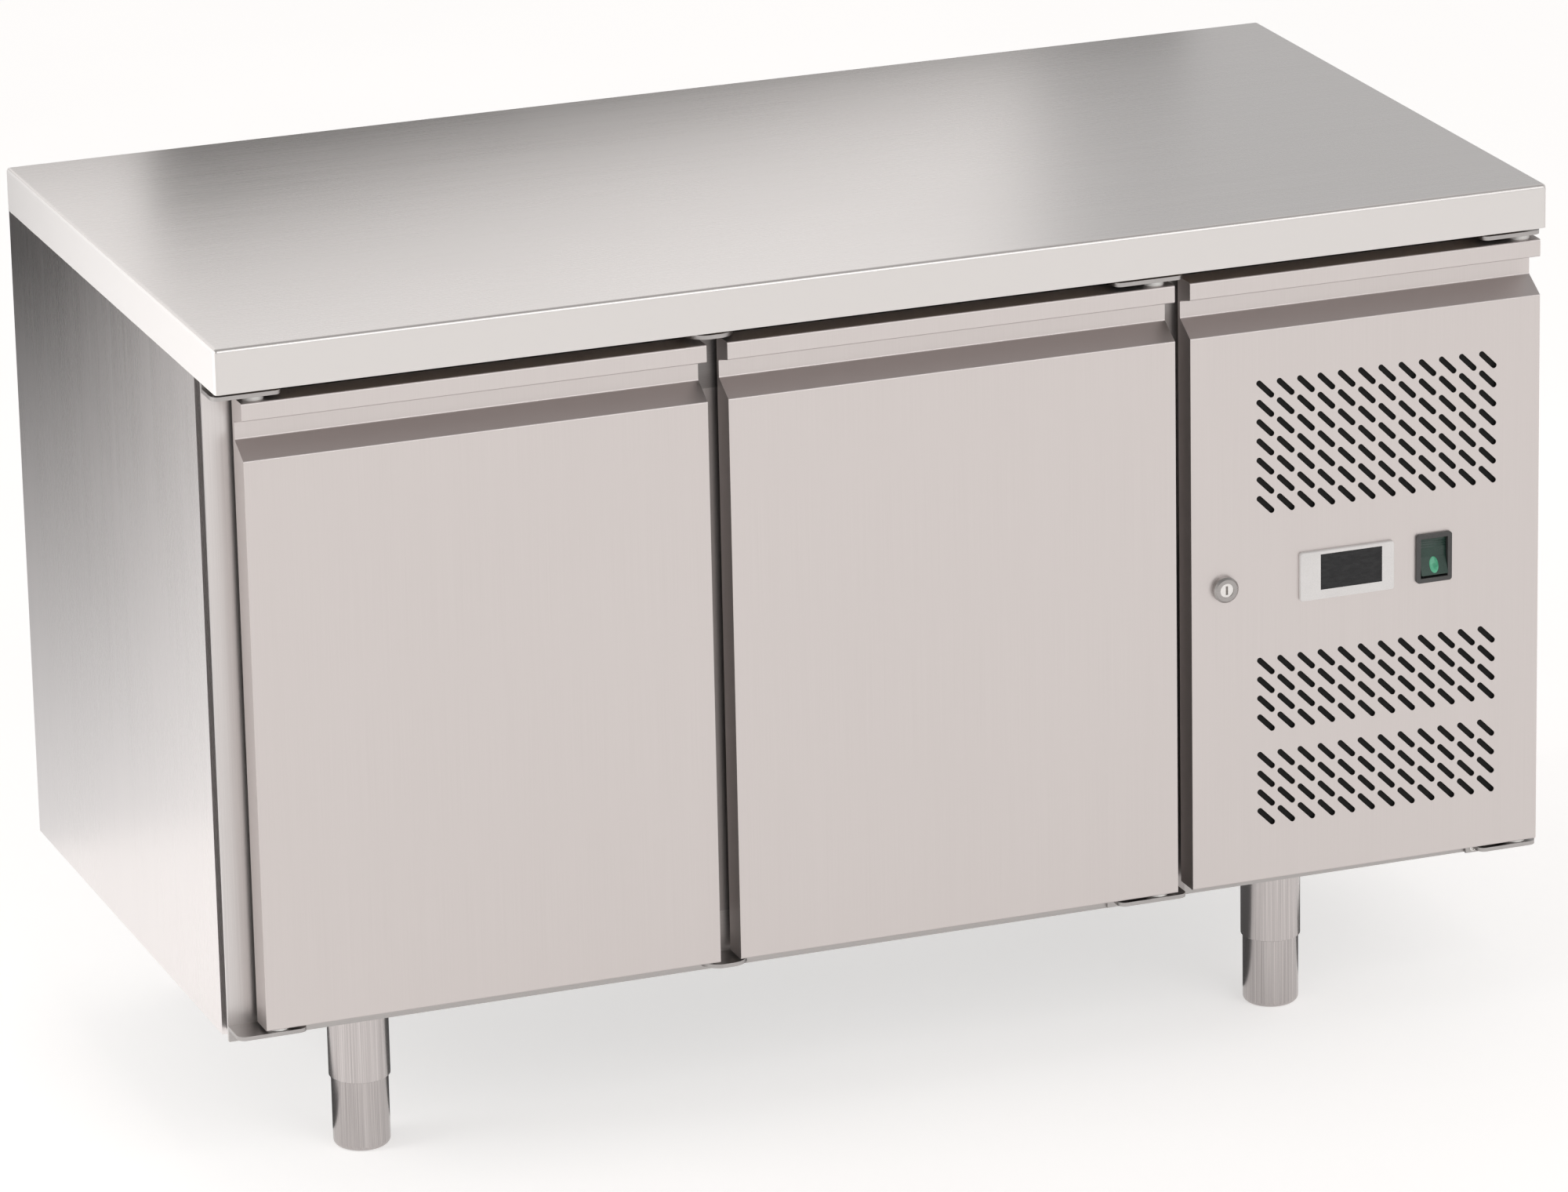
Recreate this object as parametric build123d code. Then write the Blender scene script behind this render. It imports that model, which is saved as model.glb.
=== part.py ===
from build123d import *
import math
import os

# Two-door refrigerated counter with its compressor at the right-hand end.
# Millimetres. +X runs to the right, the doors face -Y, +Z is up, and the origin is on the
# floor under the middle of the worktop.

# Driving dimensions
WIDTH = 1360.0
DEPTH = 700.0
HEIGHT = 850.0
APRON = 44.0            # height of the worktop's folded edge
LEG_HEIGHT = 150.0      # floor to the underside of the cabinet
SHEET = 1.2             # stainless sheet
DOOR_WIDTH = 460.0
DOOR_DEPTH = 30.0       # front sheet to back of the door's folded edge
HINGE_INSET = 16.0      # pin axis from the door's edge
GASKET_WIDTH = 14.0
RUN_GAP = 0.3           # space left between parts that move past each other
PIN_PLAY = 0.05         # radial play of a pin in its bush

# Outer planes
LEFT = -WIDTH / 2
RIGHT = WIDTH / 2
FRONT = -DEPTH / 2
BACK = DEPTH / 2 - 5.0            # the worktop overhangs the back by 5 mm
TOP = HEIGHT - APRON              # top of the cabinet, under the worktop
BOTTOM = LEG_HEIGHT
FRAME_FRONT = -304.0              # front plane of the cabinet frame, where the gaskets seat
FRAME_BACK = -283.0
DOOR_FRONT = -343.0
DOOR_BACK = DOOR_FRONT + DOOR_DEPTH
DOOR_BOTTOM = 170.0
DOOR_TOP = 793.0

# Places along the width
DOOR_1_LEFT = -653.5
DOOR_2_LEFT = -172.5
PANEL_LEFT = 303.5
PANEL_RIGHT = 676.5
LEFT_JAMB = -621.0
MULLION_LEFT = -223.0
MULLION_RIGHT = -143.0
DIVIDER_LEFT = 257.0
DIVIDER_RIGHT = 311.0

# Storage space
OPENING_BOTTOM = 208.0
OPENING_TOP = 738.0
LINER_BOTTOM = 205.0
LINER_TOP = 752.0
LINER_RIGHT = 259.0
LINER_BACK = 290.0

# Pulled-in finger channel across the top of each door: heights below the door's top edge
LIP_HEIGHT = 17.5
CHANNEL_DEPTH = 25.0
CHANNEL_WALL_TOP = 24.0
CHANNEL_WALL_BOTTOM = 41.5
CHANNEL_FOOT = 56.5
EDGE_RADIUS = 2.0

HINGE_Y = DOOR_FRONT + DOOR_DEPTH / 2
HINGE_1_X = DOOR_1_LEFT + HINGE_INSET
HINGE_2_X = DOOR_2_LEFT + DOOR_WIDTH - HINGE_INSET
HINGE_3_X = PANEL_RIGHT - HINGE_INSET
PIN_RADIUS = 4.0
BUSH_RADIUS = 7.0
BUSH_LENGTH = 13.0
FLANGE_RADIUS = 10.0
FLANGE_HEIGHT = 3.5
BRACKET_THICKNESS = 4.0

LEG_X = (-531.0, 432.0)
LEG_Y = (-240.0, 240.0)
LEG_RADIUS = 30.0
FOOT_RADIUS = 28.0
LEG_BOTTOM = 72.0
FOOT_TOP = 125.0

COIL_X = (345.0, 645.0)           # condenser, in the compressor compartment
COIL_Z = (175.0, 475.0)
FAN_X = 495.0
FAN_Z = 325.0
EVAPORATOR_X = (-268.0, -98.0)
EVAPORATOR_FAN_Y = -20.0

os.makedirs("parts", exist_ok=True)


def block(x_span, y_span, z_span):
    """A box given by its two limits along each axis."""
    size = [high - low for low, high in (x_span, y_span, z_span)]
    middle = [(high + low) / 2 for low, high in (x_span, y_span, z_span)]
    return Pos(*middle) * Box(*size)


def cylinder_x(x_span, y, z, radius):
    """A round bar lying along X."""
    return Pos(sum(x_span) / 2, y, z) * Rot(0, 90, 0) * Cylinder(radius, x_span[1] - x_span[0])


def cylinder_y(x, y_span, z, radius):
    """A round bar lying along Y."""
    return Pos(x, sum(y_span) / 2, z) * Rot(90, 0, 0) * Cylinder(radius, y_span[1] - y_span[0])


def cylinder_z(x, y, z_span, radius):
    """A round bar standing along Z."""
    return Pos(x, y, sum(z_span) / 2) * Cylinder(radius, z_span[1] - z_span[0])


def hollow_block(x_span, y_span, z_span, wall, open_side=None):
    """A box with walls of one thickness, open on the side that is named, or closed."""
    spans = [list(x_span), list(y_span), list(z_span)]
    inner = [[low + wall, high - wall] for low, high in spans]
    if open_side is not None:
        axis = "xyz".index(open_side[1])
        end = 0 if open_side[0] == "-" else 1
        inner[axis][end] = spans[axis][end]
    return block(*spans) - block(*inner)


def ring_plate(x_span, z_span, y_span, width):
    """A rectangular frame that stands in the XZ plane."""
    outer = block(x_span, y_span, z_span)
    inner_x = (x_span[0] + width, x_span[1] - width)
    inner_z = (z_span[0] + width, z_span[1] - width)
    return outer - block(inner_x, y_span, inner_z)


def bent_tube(points, radius, bend):
    """A round tube, made solid, along straight runs with equal bends between them."""
    path = FilletPolyline(*points, radius=bend)
    return sweep(Plane(path @ 0, z_dir=path % 0) * Circle(radius), path)


def save(name, *shapes):
    """Write one sub-part; several solids stay separate inside it."""
    solids = [solid for shape in shapes for solid in shape.solids()]
    shape = solids[0] if len(solids) == 1 else Compound(children=solids)
    export_step(shape, f"parts/{name}.step")


# Worktop: a folded stainless tray, upside down over a stiffening board


def worktop_skin():
    outer = block((LEFT, RIGHT), (FRONT, -FRONT), (TOP, HEIGHT))
    top_edges = outer.edges().filter_by(Plane.XY).sort_by(Axis.Z)[-4:]
    upright_edges = outer.edges().filter_by(Axis.Z)
    outer = fillet(top_edges + upright_edges, 4.0)
    inside = (LEFT + SHEET, RIGHT - SHEET), (FRONT + SHEET, -FRONT - SHEET)
    cavity = block(*inside, (TOP + SHEET, HEIGHT - SHEET))
    cavity = fillet(cavity.edges().filter_by(Axis.Z), 2.8)
    return_fold = 18.0
    mouth = block(
        (LEFT + return_fold, RIGHT - return_fold),
        (FRONT + return_fold, -FRONT - return_fold),
        (TOP, TOP + SHEET),
    )
    return outer - cavity - mouth


def worktop_board():
    gap = SHEET + 3.0
    return block((LEFT + gap, RIGHT - gap), (FRONT + gap, -FRONT - gap), (TOP + SHEET, HEIGHT - SHEET))


# Cabinet shell


def side_panel(outside, inward, front, vent=False):
    """Folded side sheet with narrow returns along its front, back and foot."""
    inner_face = outside + inward * SHEET
    sheet = block(sorted((outside, inner_face)), (front, BACK), (BOTTOM, TOP))
    fold = outside + inward * 14.0
    front_return = block(sorted((outside, fold)), (front, front + SHEET), (BOTTOM, TOP))
    foot_return = block(sorted((outside, fold)), (front, BACK - SHEET), (BOTTOM, BOTTOM + SHEET))
    panel = sheet + front_return + foot_return
    if vent:
        for row in range(10):
            z = BOTTOM + 110.0 + row * 26.0
            for column in range(3):
                y = -150.0 + column * 150.0
                slot = block((outside - 3.0, outside + 3.0), (y - 55.0, y + 55.0), (z, z + 8.0))
                panel -= slot
    return panel


def back_panel():
    return block((LEFT + SHEET, DIVIDER_RIGHT), (BACK - SHEET, BACK), (BOTTOM + SHEET, TOP))


GLAND_X = 630.0
GLAND_Z = 230.0
GLAND_RADIUS = 11.0
GLAND_BORE = 4.5                  # cord's own radius


def compressor_back_grille():
    """Rear cover of the compressor compartment, with rows of louvre slots and the cord's hole."""
    sheet = block((DIVIDER_RIGHT, RIGHT - SHEET), (BACK - SHEET, BACK), (BOTTOM + SHEET, TOP))
    for row in range(14):
        z = BOTTOM + 150.0 + row * 30.0
        for x in (350.0, 505.0):
            sheet -= block((x, x + 130.0), (BACK - 5.0, BACK + 5.0), (z, z + 9.0))
    return sheet - cylinder_y(GLAND_X, (BACK - 5.0, BACK + 5.0), GLAND_Z, GLAND_RADIUS)


def power_cord_gland():
    """Plastic gland in the rear cover, where the supply cord goes in."""
    face = BACK + 4.0
    flange = cylinder_y(GLAND_X, (BACK, face), GLAND_Z, GLAND_RADIUS + 4.0)
    neck = cylinder_y(GLAND_X, (BACK - 14.0, face), GLAND_Z, GLAND_RADIUS - PIN_PLAY)
    half_nut = 4.0
    nut = extrude(RegularPolygon(GLAND_RADIUS + 4.0, 6), half_nut, both=True)
    nut = Pos(GLAND_X, BACK - SHEET - half_nut, GLAND_Z) * (Rot(90, 0, 0) * nut)
    bore = cylinder_y(GLAND_X, (BACK - 20.0, face + 1.0), GLAND_Z, GLAND_BORE)
    return flange + neck + nut - bore


def base_panel():
    """Underside sheet of the whole cabinet."""
    edge = 14.5
    return block((LEFT + edge, RIGHT - edge), (FRAME_BACK, BACK - SHEET), (BOTTOM, BOTTOM + SHEET))


PIPE_HOLE_Y = 262.0
PIPE_HOLE_Z = 720.0
PIPE_HOLE_RADIUS = 16.0


def insulation_panels():
    """Foam slabs of the storage compartment: floor, roof, left wall, back wall and divider."""
    inner_y = (FRAME_BACK + SHEET, BACK - SHEET)
    all_x = (LEFT + SHEET, DIVIDER_RIGHT)
    wall_z = (LINER_BOTTOM, LINER_TOP)
    floor = block(all_x, inner_y, (BOTTOM + SHEET, LINER_BOTTOM))
    roof = block(all_x, inner_y, (LINER_TOP, TOP))
    left_wall = block((LEFT + SHEET, LEFT_JAMB), inner_y, wall_z)
    back_wall = block((LEFT_JAMB, LINER_RIGHT), (LINER_BACK, BACK - SHEET), wall_z)
    divider = block((LINER_RIGHT, DIVIDER_RIGHT), inner_y, wall_z)
    divider -= cylinder_x((LINER_RIGHT, DIVIDER_RIGHT), PIPE_HOLE_Y, PIPE_HOLE_Z, PIPE_HOLE_RADIUS)
    return floor, roof, left_wall, back_wall, divider


def inner_liner():
    """Thin stainless lining of the storage space, open at the front."""
    liner = hollow_block(
        (LEFT_JAMB, LINER_RIGHT), (FRAME_BACK, LINER_BACK), (LINER_BOTTOM, LINER_TOP), 1.0, "-y"
    )
    hole = cylinder_x((LINER_RIGHT - 5.0, LINER_RIGHT + 5.0), PIPE_HOLE_Y, PIPE_HOLE_Z, PIPE_HOLE_RADIUS)
    return liner - hole


# Front frame, which the doors close against

GROOVE_DEPTH = 12.0               # recess along the left side, behind the front post
GROOVE_FRONT = FRAME_FRONT + 3.0
TRIM_THICKNESS = 2.0


def left_front_post():
    """Hollow folded post; a recess along its outer side takes a plastic strip."""
    outline = make_face(
        Polyline(
            (LEFT, FRAME_FRONT),
            (LEFT_JAMB, FRAME_FRONT),
            (LEFT_JAMB, FRAME_BACK),
            (LEFT + GROOVE_DEPTH, FRAME_BACK),
            (LEFT + GROOVE_DEPTH, GROOVE_FRONT),
            (LEFT, GROOVE_FRONT),
            close=True,
        )
    )
    inside_x = (LEFT + GROOVE_DEPTH + SHEET, LEFT_JAMB - SHEET)
    inside = block(inside_x, (FRAME_FRONT + SHEET, FRAME_BACK - SHEET), (BOTTOM, TOP))
    return Pos(0, 0, BOTTOM) * extrude(outline, TOP - BOTTOM) - inside


def upright_post(x_span, z_span):
    return hollow_block(x_span, (FRAME_FRONT, FRAME_BACK), z_span, SHEET)


TAB_THICKNESS = 2.0
TAB_END = 325.0
TAB_REACH = 40.0                  # above and below the lock


def divider_front_post():
    """Post beside the second door, with the folded tab that the panel's lock hooks behind."""
    post = upright_post((DIVIDER_LEFT, DIVIDER_RIGHT), (BOTTOM, TOP))
    tab_y = (FRAME_FRONT, FRAME_FRONT + TAB_THICKNESS)
    tab = block((DIVIDER_RIGHT, TAB_END), tab_y, (LOCK_Z - TAB_REACH, LOCK_Z + TAB_REACH))
    return post + tab


def front_rail(z_span, bay_z_span):
    """Rail between the posts, carried on as a narrow rail across the compressor compartment."""
    storage = hollow_block((LEFT_JAMB, DIVIDER_LEFT), (FRAME_FRONT, FRAME_BACK), z_span, SHEET)
    bay_y = (FRAME_FRONT + SHEET, FRAME_BACK)
    bay = hollow_block((DIVIDER_RIGHT, RIGHT - SHEET), bay_y, bay_z_span, SHEET)
    return storage, bay


def opening_trims():
    """Plastic edging round the inside of both door openings, and the strip in the left recess."""
    trims = []
    for x_span in ((LEFT_JAMB, MULLION_LEFT), (MULLION_RIGHT, DIVIDER_LEFT)):
        depth = (FRAME_FRONT + 1.0, FRAME_BACK)
        trims.append(ring_plate(x_span, (OPENING_BOTTOM, OPENING_TOP), depth, TRIM_THICKNESS))
    strip_x = (LEFT + GROOVE_DEPTH - 6.0, LEFT + GROOVE_DEPTH)
    strip = block(strip_x, (GROOVE_FRONT, FRAME_BACK), (BOTTOM + 4.0, TOP - 1.0))
    return trims + [strip]


# Doors and service panel


def door_outline():
    """Side view of the door (Y, Z), with the finger channel pressed into its front."""
    channel_back = DOOR_FRONT + CHANNEL_DEPTH
    face = make_face(
        Polyline(
            (DOOR_FRONT, DOOR_BOTTOM),
            (DOOR_FRONT, DOOR_TOP - CHANNEL_FOOT),
            (channel_back, DOOR_TOP - CHANNEL_WALL_BOTTOM),
            (channel_back, DOOR_TOP - CHANNEL_WALL_TOP),
            (DOOR_FRONT, DOOR_TOP - LIP_HEIGHT),
            (DOOR_FRONT, DOOR_TOP),
            (DOOR_BACK, DOOR_TOP),
            (DOOR_BACK, DOOR_BOTTOM),
            close=True,
        )
    )
    bent_corners = [corner for corner in face.vertices() if corner.X < DOOR_BACK - 1.0]
    return fillet(bent_corners, EDGE_RADIUS)


def along_x(face, x_span):
    """Carry an outline drawn in (Y, Z) along X."""
    return Pos(x_span[0], 0, 0) * extrude(Plane.YZ * face, x_span[1] - x_span[0])


def bush_pocket(hinge_x):
    """The two round pockets, top and bottom, that take a door's bushes."""
    top = cylinder_z(hinge_x, HINGE_Y, (DOOR_TOP - BUSH_LENGTH, DOOR_TOP + 1.0), BUSH_RADIUS)
    foot = cylinder_z(hinge_x, HINGE_Y, (DOOR_BOTTOM - 1.0, DOOR_BOTTOM + BUSH_LENGTH), BUSH_RADIUS)
    return top + foot


def door_cavity(x_span):
    """Space inside the door's skin, out to its open back."""
    inner_face = offset(door_outline(), amount=-SHEET)
    inner_x = (x_span[0] + SHEET, x_span[1] - SHEET)
    cavity = along_x(inner_face, inner_x)
    back_mouth = block(inner_x, (DOOR_BACK - 2 * SHEET, DOOR_BACK), (DOOR_BOTTOM + SHEET, DOOR_TOP - SHEET))
    return cavity + back_mouth


def door_skin(x_span, hinge_x):
    return along_x(door_outline(), x_span) - door_cavity(x_span) - bush_pocket(hinge_x)


LINER_PLATE = 2.0                 # thickness of a door's inner sheet
PLUG_INSET = 40.0                 # door edge to the raised field of its inner sheet
PLUG_HEIGHT = 14.0
PLUG_TOP_INSET = 64.0             # the field stays below the frame's top rail
GASKET_INSET = 14.0


def plug_spans(x_span, shrink=0.0):
    x = (x_span[0] + PLUG_INSET + shrink, x_span[1] - PLUG_INSET - shrink)
    z = (DOOR_BOTTOM + PLUG_INSET + shrink, DOOR_TOP - PLUG_TOP_INSET - shrink)
    return x, z


def door_inner_panel(x_span):
    """Pressed inner sheet: a flat border for the gasket and a raised field behind it."""
    inner_x = (x_span[0] + 1.0, x_span[1] - 1.0)
    inner_z = (DOOR_BOTTOM + 1.0, DOOR_TOP - 1.0)
    plate = block(inner_x, (DOOR_BACK, DOOR_BACK + LINER_PLATE), inner_z)
    plug_x, plug_z = plug_spans(x_span)
    plug = block(plug_x, (DOOR_BACK, DOOR_BACK + LINER_PLATE + PLUG_HEIGHT), plug_z)
    plug = fillet(plug.edges().filter_by(Axis.Y), 12.0)
    rim = plug.faces().sort_by(Axis.Y)[-1].edges()
    plug = fillet(rim, 4.0)
    hollow_x, hollow_z = plug_spans(x_span, LINER_PLATE)
    hollow = block(hollow_x, (DOOR_BACK, DOOR_BACK + PLUG_HEIGHT), hollow_z)
    hollow = fillet(hollow.edges().filter_by(Axis.Y), 10.0)
    return plate + plug - hollow


def door_foam(x_span, hinge_x):
    """Foam that fills the skin and the raised field of the inner sheet."""
    hollow_x, hollow_z = plug_spans(x_span, LINER_PLATE)
    field = block(hollow_x, (DOOR_BACK - 1.0, DOOR_BACK + PLUG_HEIGHT), hollow_z)
    field = fillet(field.edges().filter_by(Axis.Y), 10.0)
    return door_cavity(x_span) + field - bush_pocket(hinge_x)


def door_gasket(x_span):
    """Magnetic gasket round the door's back, just clear of the frame."""
    ring_x = (x_span[0] + GASKET_INSET, x_span[1] - GASKET_INSET)
    ring_z = (DOOR_BOTTOM + GASKET_INSET, DOOR_TOP - GASKET_INSET)
    ring_y = (DOOR_BACK + LINER_PLATE, FRAME_FRONT - RUN_GAP)
    return ring_plate(ring_x, ring_z, ring_y, GASKET_WIDTH)


def hinge_bushes(hinge_x):
    """Flanged plastic bushes pressed into the top and the foot of a door."""
    bushes = []
    for z_face, out in ((DOOR_TOP, 1.0), (DOOR_BOTTOM, -1.0)):
        flange = cylinder_z(hinge_x, HINGE_Y, sorted((z_face, z_face + out * FLANGE_HEIGHT)), FLANGE_RADIUS)
        body = cylinder_z(hinge_x, HINGE_Y, sorted((z_face, z_face - out * BUSH_LENGTH)), BUSH_RADIUS)
        bore = cylinder_z(hinge_x, HINGE_Y, (z_face - 20.0, z_face + 20.0), PIN_RADIUS + PIN_PLAY)
        bushes.append(flange + body - bore)
    return bushes


BRACKET_TOP_Z = DOOR_TOP + FLANGE_HEIGHT + RUN_GAP         # underside of a top bracket
BRACKET_FOOT_Z = DOOR_BOTTOM - FLANGE_HEIGHT - RUN_GAP     # upper face of a bottom bracket
BRACKET_REACH = DOOR_FRONT + 4.0


def hinge_bracket_pair(hinge_x, inboard, outboard):
    """Angle brackets above and below a hinge: inboard and outboard are their ends along X."""
    x_span = sorted((inboard, outboard))
    corner = 8.0
    pair = []
    top_z = (BRACKET_TOP_Z, BRACKET_TOP_Z + BRACKET_THICKNESS)
    foot_z = (BRACKET_FOOT_Z - BRACKET_THICKNESS, BRACKET_FOOT_Z)
    # Both legs point away from the door, so that its back corner swings past them
    for z_span, leg_z in (
        (top_z, (BRACKET_TOP_Z, TOP - 0.5)),
        (foot_z, (BOTTOM + 1.0, foot_z[1])),
    ):
        plate = block(x_span, (BRACKET_REACH, FRAME_FRONT), z_span)
        outer_corners = plate.edges().filter_by(Axis.Z).sort_by(Axis.Y)[:2]
        plate = fillet(outer_corners, corner)
        leg = block(x_span, (FRAME_FRONT - 3.0, FRAME_FRONT), leg_z)
        hole = cylinder_z(hinge_x, HINGE_Y, (z_span[0] - 1.0, z_span[1] + 1.0), PIN_RADIUS)
        pair.append(plate + leg - hole)
    return pair


def mullion_plates():
    """Spare hinge plates on the mullion, used when a door is hung the other way round."""
    x_span = (MULLION_LEFT + 16.0, MULLION_RIGHT - 16.0)
    plates = []
    for z_span in (
        (BRACKET_TOP_Z, BRACKET_TOP_Z + BRACKET_THICKNESS),
        (BRACKET_FOOT_Z - BRACKET_THICKNESS, BRACKET_FOOT_Z),
    ):
        plate = block(x_span, (BRACKET_REACH, FRAME_FRONT), z_span)
        plates.append(fillet(plate.edges().filter_by(Axis.Z).sort_by(Axis.Y)[:2], 20.0))
    return plates


def hinge_pins():
    pins = []
    top_span = (DOOR_TOP - BUSH_LENGTH + 2.0, BRACKET_TOP_Z + BRACKET_THICKNESS)
    foot_span = (BRACKET_FOOT_Z - BRACKET_THICKNESS, DOOR_BOTTOM + BUSH_LENGTH - 2.0)
    for hinge_x in (HINGE_1_X, HINGE_2_X, HINGE_3_X):
        for z_span in (top_span, foot_span):
            pins.append(cylinder_z(hinge_x, HINGE_Y, z_span, PIN_RADIUS))
    return pins


# Service panel in front of the compressor, with its slots and controls

SLOT_WIDTH = 5.8
SLOT_LENGTH = 24.5                # end to end
SLOT_ANGLE = -45.0
SLOT_PITCH_X = 21.65
SLOT_PITCH_Z = 19.6
SLOT_COLUMNS = 12
SLOT_GROUPS = ((7, 618.0), (4, 363.5), (4, 265.7))        # rows, middle height
SLOT_MIDDLE_X = 501.5
THERMOSTAT_X = (418.0, 519.0)
THERMOSTAT_Z = (455.0, 505.0)
WINDOW_X = (439.5, 505.5)
WINDOW_Z = (465.0, 501.5)
SWITCH_X = (543.5, 581.5)
SWITCH_Z = (456.5, 506.5)
SWITCH_RIM = 2.2                  # width of the rim that laps over the panel
LOCK_X = 338.3
LOCK_Z = 478.6
LOCK_FLANGE = 13.0
LOCK_BARREL = 9.0
LOCK_CORE = 7.0


def slot_cutters():
    """Every slanted slot of the panel, as one cutter through its front sheet."""
    slots = Sketch()
    for rows, middle_z in SLOT_GROUPS:
        grid = GridLocations(SLOT_PITCH_X, SLOT_PITCH_Z, SLOT_COLUMNS, rows)
        place = Location((SLOT_MIDDLE_X, middle_z))
        for location in grid:
            slots += place * location * Rot(0, 0, SLOT_ANGLE) * SlotOverall(SLOT_LENGTH, SLOT_WIDTH)
    upright = Plane(origin=(0, DOOR_FRONT - 2.0, 0), x_dir=(1, 0, 0), z_dir=(0, -1, 0))
    return extrude(upright * slots, -6.0)


def service_panel():
    """Front panel of the compressor compartment: a folded tray with slots and cut-outs."""
    x_span = (PANEL_LEFT, PANEL_RIGHT)
    tray = along_x(door_outline(), x_span) - door_cavity(x_span) - bush_pocket(HINGE_3_X)
    through = (DOOR_FRONT - 1.0, DOOR_FRONT + 3.0)
    tray -= slot_cutters()
    for x_control, z_control, margin in (
        (THERMOSTAT_X, THERMOSTAT_Z, 4.0),
        (SWITCH_X, SWITCH_Z, SWITCH_RIM - 0.2),
    ):
        cut_x = (x_control[0] + margin, x_control[1] - margin)
        cut_z = (z_control[0] + margin, z_control[1] - margin)
        tray -= block(cut_x, through, cut_z)
    return tray - cylinder_y(LOCK_X, through, LOCK_Z, LOCK_BARREL)


def panel_back_flanges():
    """Folded returns along the panel's two upright edges, which stiffen it."""
    width = 18.0
    left = (PANEL_LEFT + SHEET, PANEL_LEFT + width)
    right = (PANEL_RIGHT - width, PANEL_RIGHT - SHEET)
    flange_y = (DOOR_BACK - SHEET, DOOR_BACK)
    flange_z = (DOOR_BOTTOM + SHEET, DOOR_TOP - SHEET)
    return [block(x_span, flange_y, flange_z) for x_span in (left, right)]


def thermostat_case():
    """Digital thermostat: bezel in front of the panel and its case behind."""
    bezel = block(THERMOSTAT_X, (DOOR_FRONT - 4.0, DOOR_FRONT), THERMOSTAT_Z)
    bezel = fillet(bezel.edges().filter_by(Axis.Y), 3.0)
    bezel = fillet(bezel.faces().sort_by(Axis.Y)[0].edges(), 1.5)
    margin = 4.3
    body = block(
        (THERMOSTAT_X[0] + margin, THERMOSTAT_X[1] - margin),
        (DOOR_FRONT, DOOR_FRONT + 55.0),
        (THERMOSTAT_Z[0] + margin, THERMOSTAT_Z[1] - margin),
    )
    pocket = block(WINDOW_X, (DOOR_FRONT - 5.0, DOOR_FRONT - 2.4), WINDOW_Z)
    return bezel + body - pocket


def thermostat_window():
    """Dark display window, set into the bezel."""
    return block(WINDOW_X, (DOOR_FRONT - 3.9, DOOR_FRONT - 2.4), WINDOW_Z)


ROCKER_X = (548.3, 576.7)
ROCKER_Z = (461.5, 501.5)
ROCKER_Y = DOOR_FRONT + 6.0
ROCKER_TILT = 9.0
TRUNNION_X = (546.5, 578.5)
TRUNNION_RADIUS = 1.6


def switch_frame():
    """Snap-in frame of the mains switch, with its body behind the panel."""
    bezel = block(SWITCH_X, (DOOR_FRONT - 3.0, DOOR_FRONT), SWITCH_Z)
    bezel = fillet(bezel.edges().filter_by(Axis.Y), 3.0)
    body = block(
        (SWITCH_X[0] + SWITCH_RIM, SWITCH_X[1] - SWITCH_RIM),
        (DOOR_FRONT, DOOR_FRONT + 26.0),
        (SWITCH_Z[0] + SWITCH_RIM, SWITCH_Z[1] - SWITCH_RIM),
    )
    well_x = (ROCKER_X[0] - 0.4, ROCKER_X[1] + 0.4)
    well_z = (ROCKER_Z[0] - 0.4, ROCKER_Z[1] + 0.4)
    well = block(well_x, (DOOR_FRONT - 4.0, DOOR_FRONT + 21.0), well_z)
    bearing_x = (TRUNNION_X[0] - 1.0, TRUNNION_X[1] + 1.0)
    bearings = cylinder_x(bearing_x, ROCKER_Y, sum(ROCKER_Z) / 2, TRUNNION_RADIUS + PIN_PLAY)
    return bezel + body - well - bearings


def switch_rocker():
    """Rocker with two faces at an angle on two trunnions, at rest with its upper end pressed in."""
    middle_z = sum(ROCKER_Z) / 2
    half = (ROCKER_Z[1] - ROCKER_Z[0]) / 2 - 1.4
    rise = half * math.tan(math.radians(ROCKER_TILT))
    keel = 9.0
    outline = make_face(
        Polyline(
            (-5.0, 0.0),
            (-5.0 - rise, half),
            (0.0, half),
            (keel, 4.0),
            (keel, -4.0),
            (0.0, -half),
            (-5.0 - rise, -half),
            close=True,
        )
    )
    rocker = along_x(outline, ROCKER_X)
    trunnions = cylinder_x(TRUNNION_X, ROCKER_Y, middle_z, TRUNNION_RADIUS)
    return Pos(0, ROCKER_Y, middle_z) * (Rot(-ROCKER_TILT, 0, 0) * rocker) + trunnions


def lock_barrel():
    """Fixed sleeve of the panel's lock."""
    flange = cylinder_y(LOCK_X, (FRONT, DOOR_FRONT), LOCK_Z, LOCK_FLANGE)
    flange = chamfer(flange.faces().sort_by(Axis.Y)[0].edges(), 2.0)
    sleeve = cylinder_y(LOCK_X, (DOOR_FRONT, FRAME_FRONT), LOCK_Z, LOCK_BARREL - PIN_PLAY)
    bore = cylinder_y(LOCK_X, (FRONT - 1.0, FRAME_FRONT + 1.0), LOCK_Z, LOCK_CORE + PIN_PLAY)
    return flange + sleeve - bore


def lock_cylinder():
    """Turning core of the lock, with its key slot. The cam on its tail hangs down when unlocked."""
    cam_y = (FRAME_FRONT + 3.0, FRAME_FRONT + 6.0)
    core = cylinder_y(LOCK_X, (FRONT + 0.8, cam_y[0]), LOCK_Z, LOCK_CORE)
    slot_x = (LOCK_X - 1.2, LOCK_X + 1.2)
    key_slot = block(slot_x, (FRONT, FRONT + 8.0), (LOCK_Z - 4.5, LOCK_Z + 4.5))
    cam_x = (LOCK_X - LOCK_CORE, LOCK_X + LOCK_CORE)
    cam = block(cam_x, cam_y, (LOCK_Z - 24.0, LOCK_Z + 8.0))
    cam = fillet(cam.edges().filter_by(Axis.Y), 3.0)
    return core + cam - key_slot


# Evaporator and shelves inside the storage space


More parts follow.
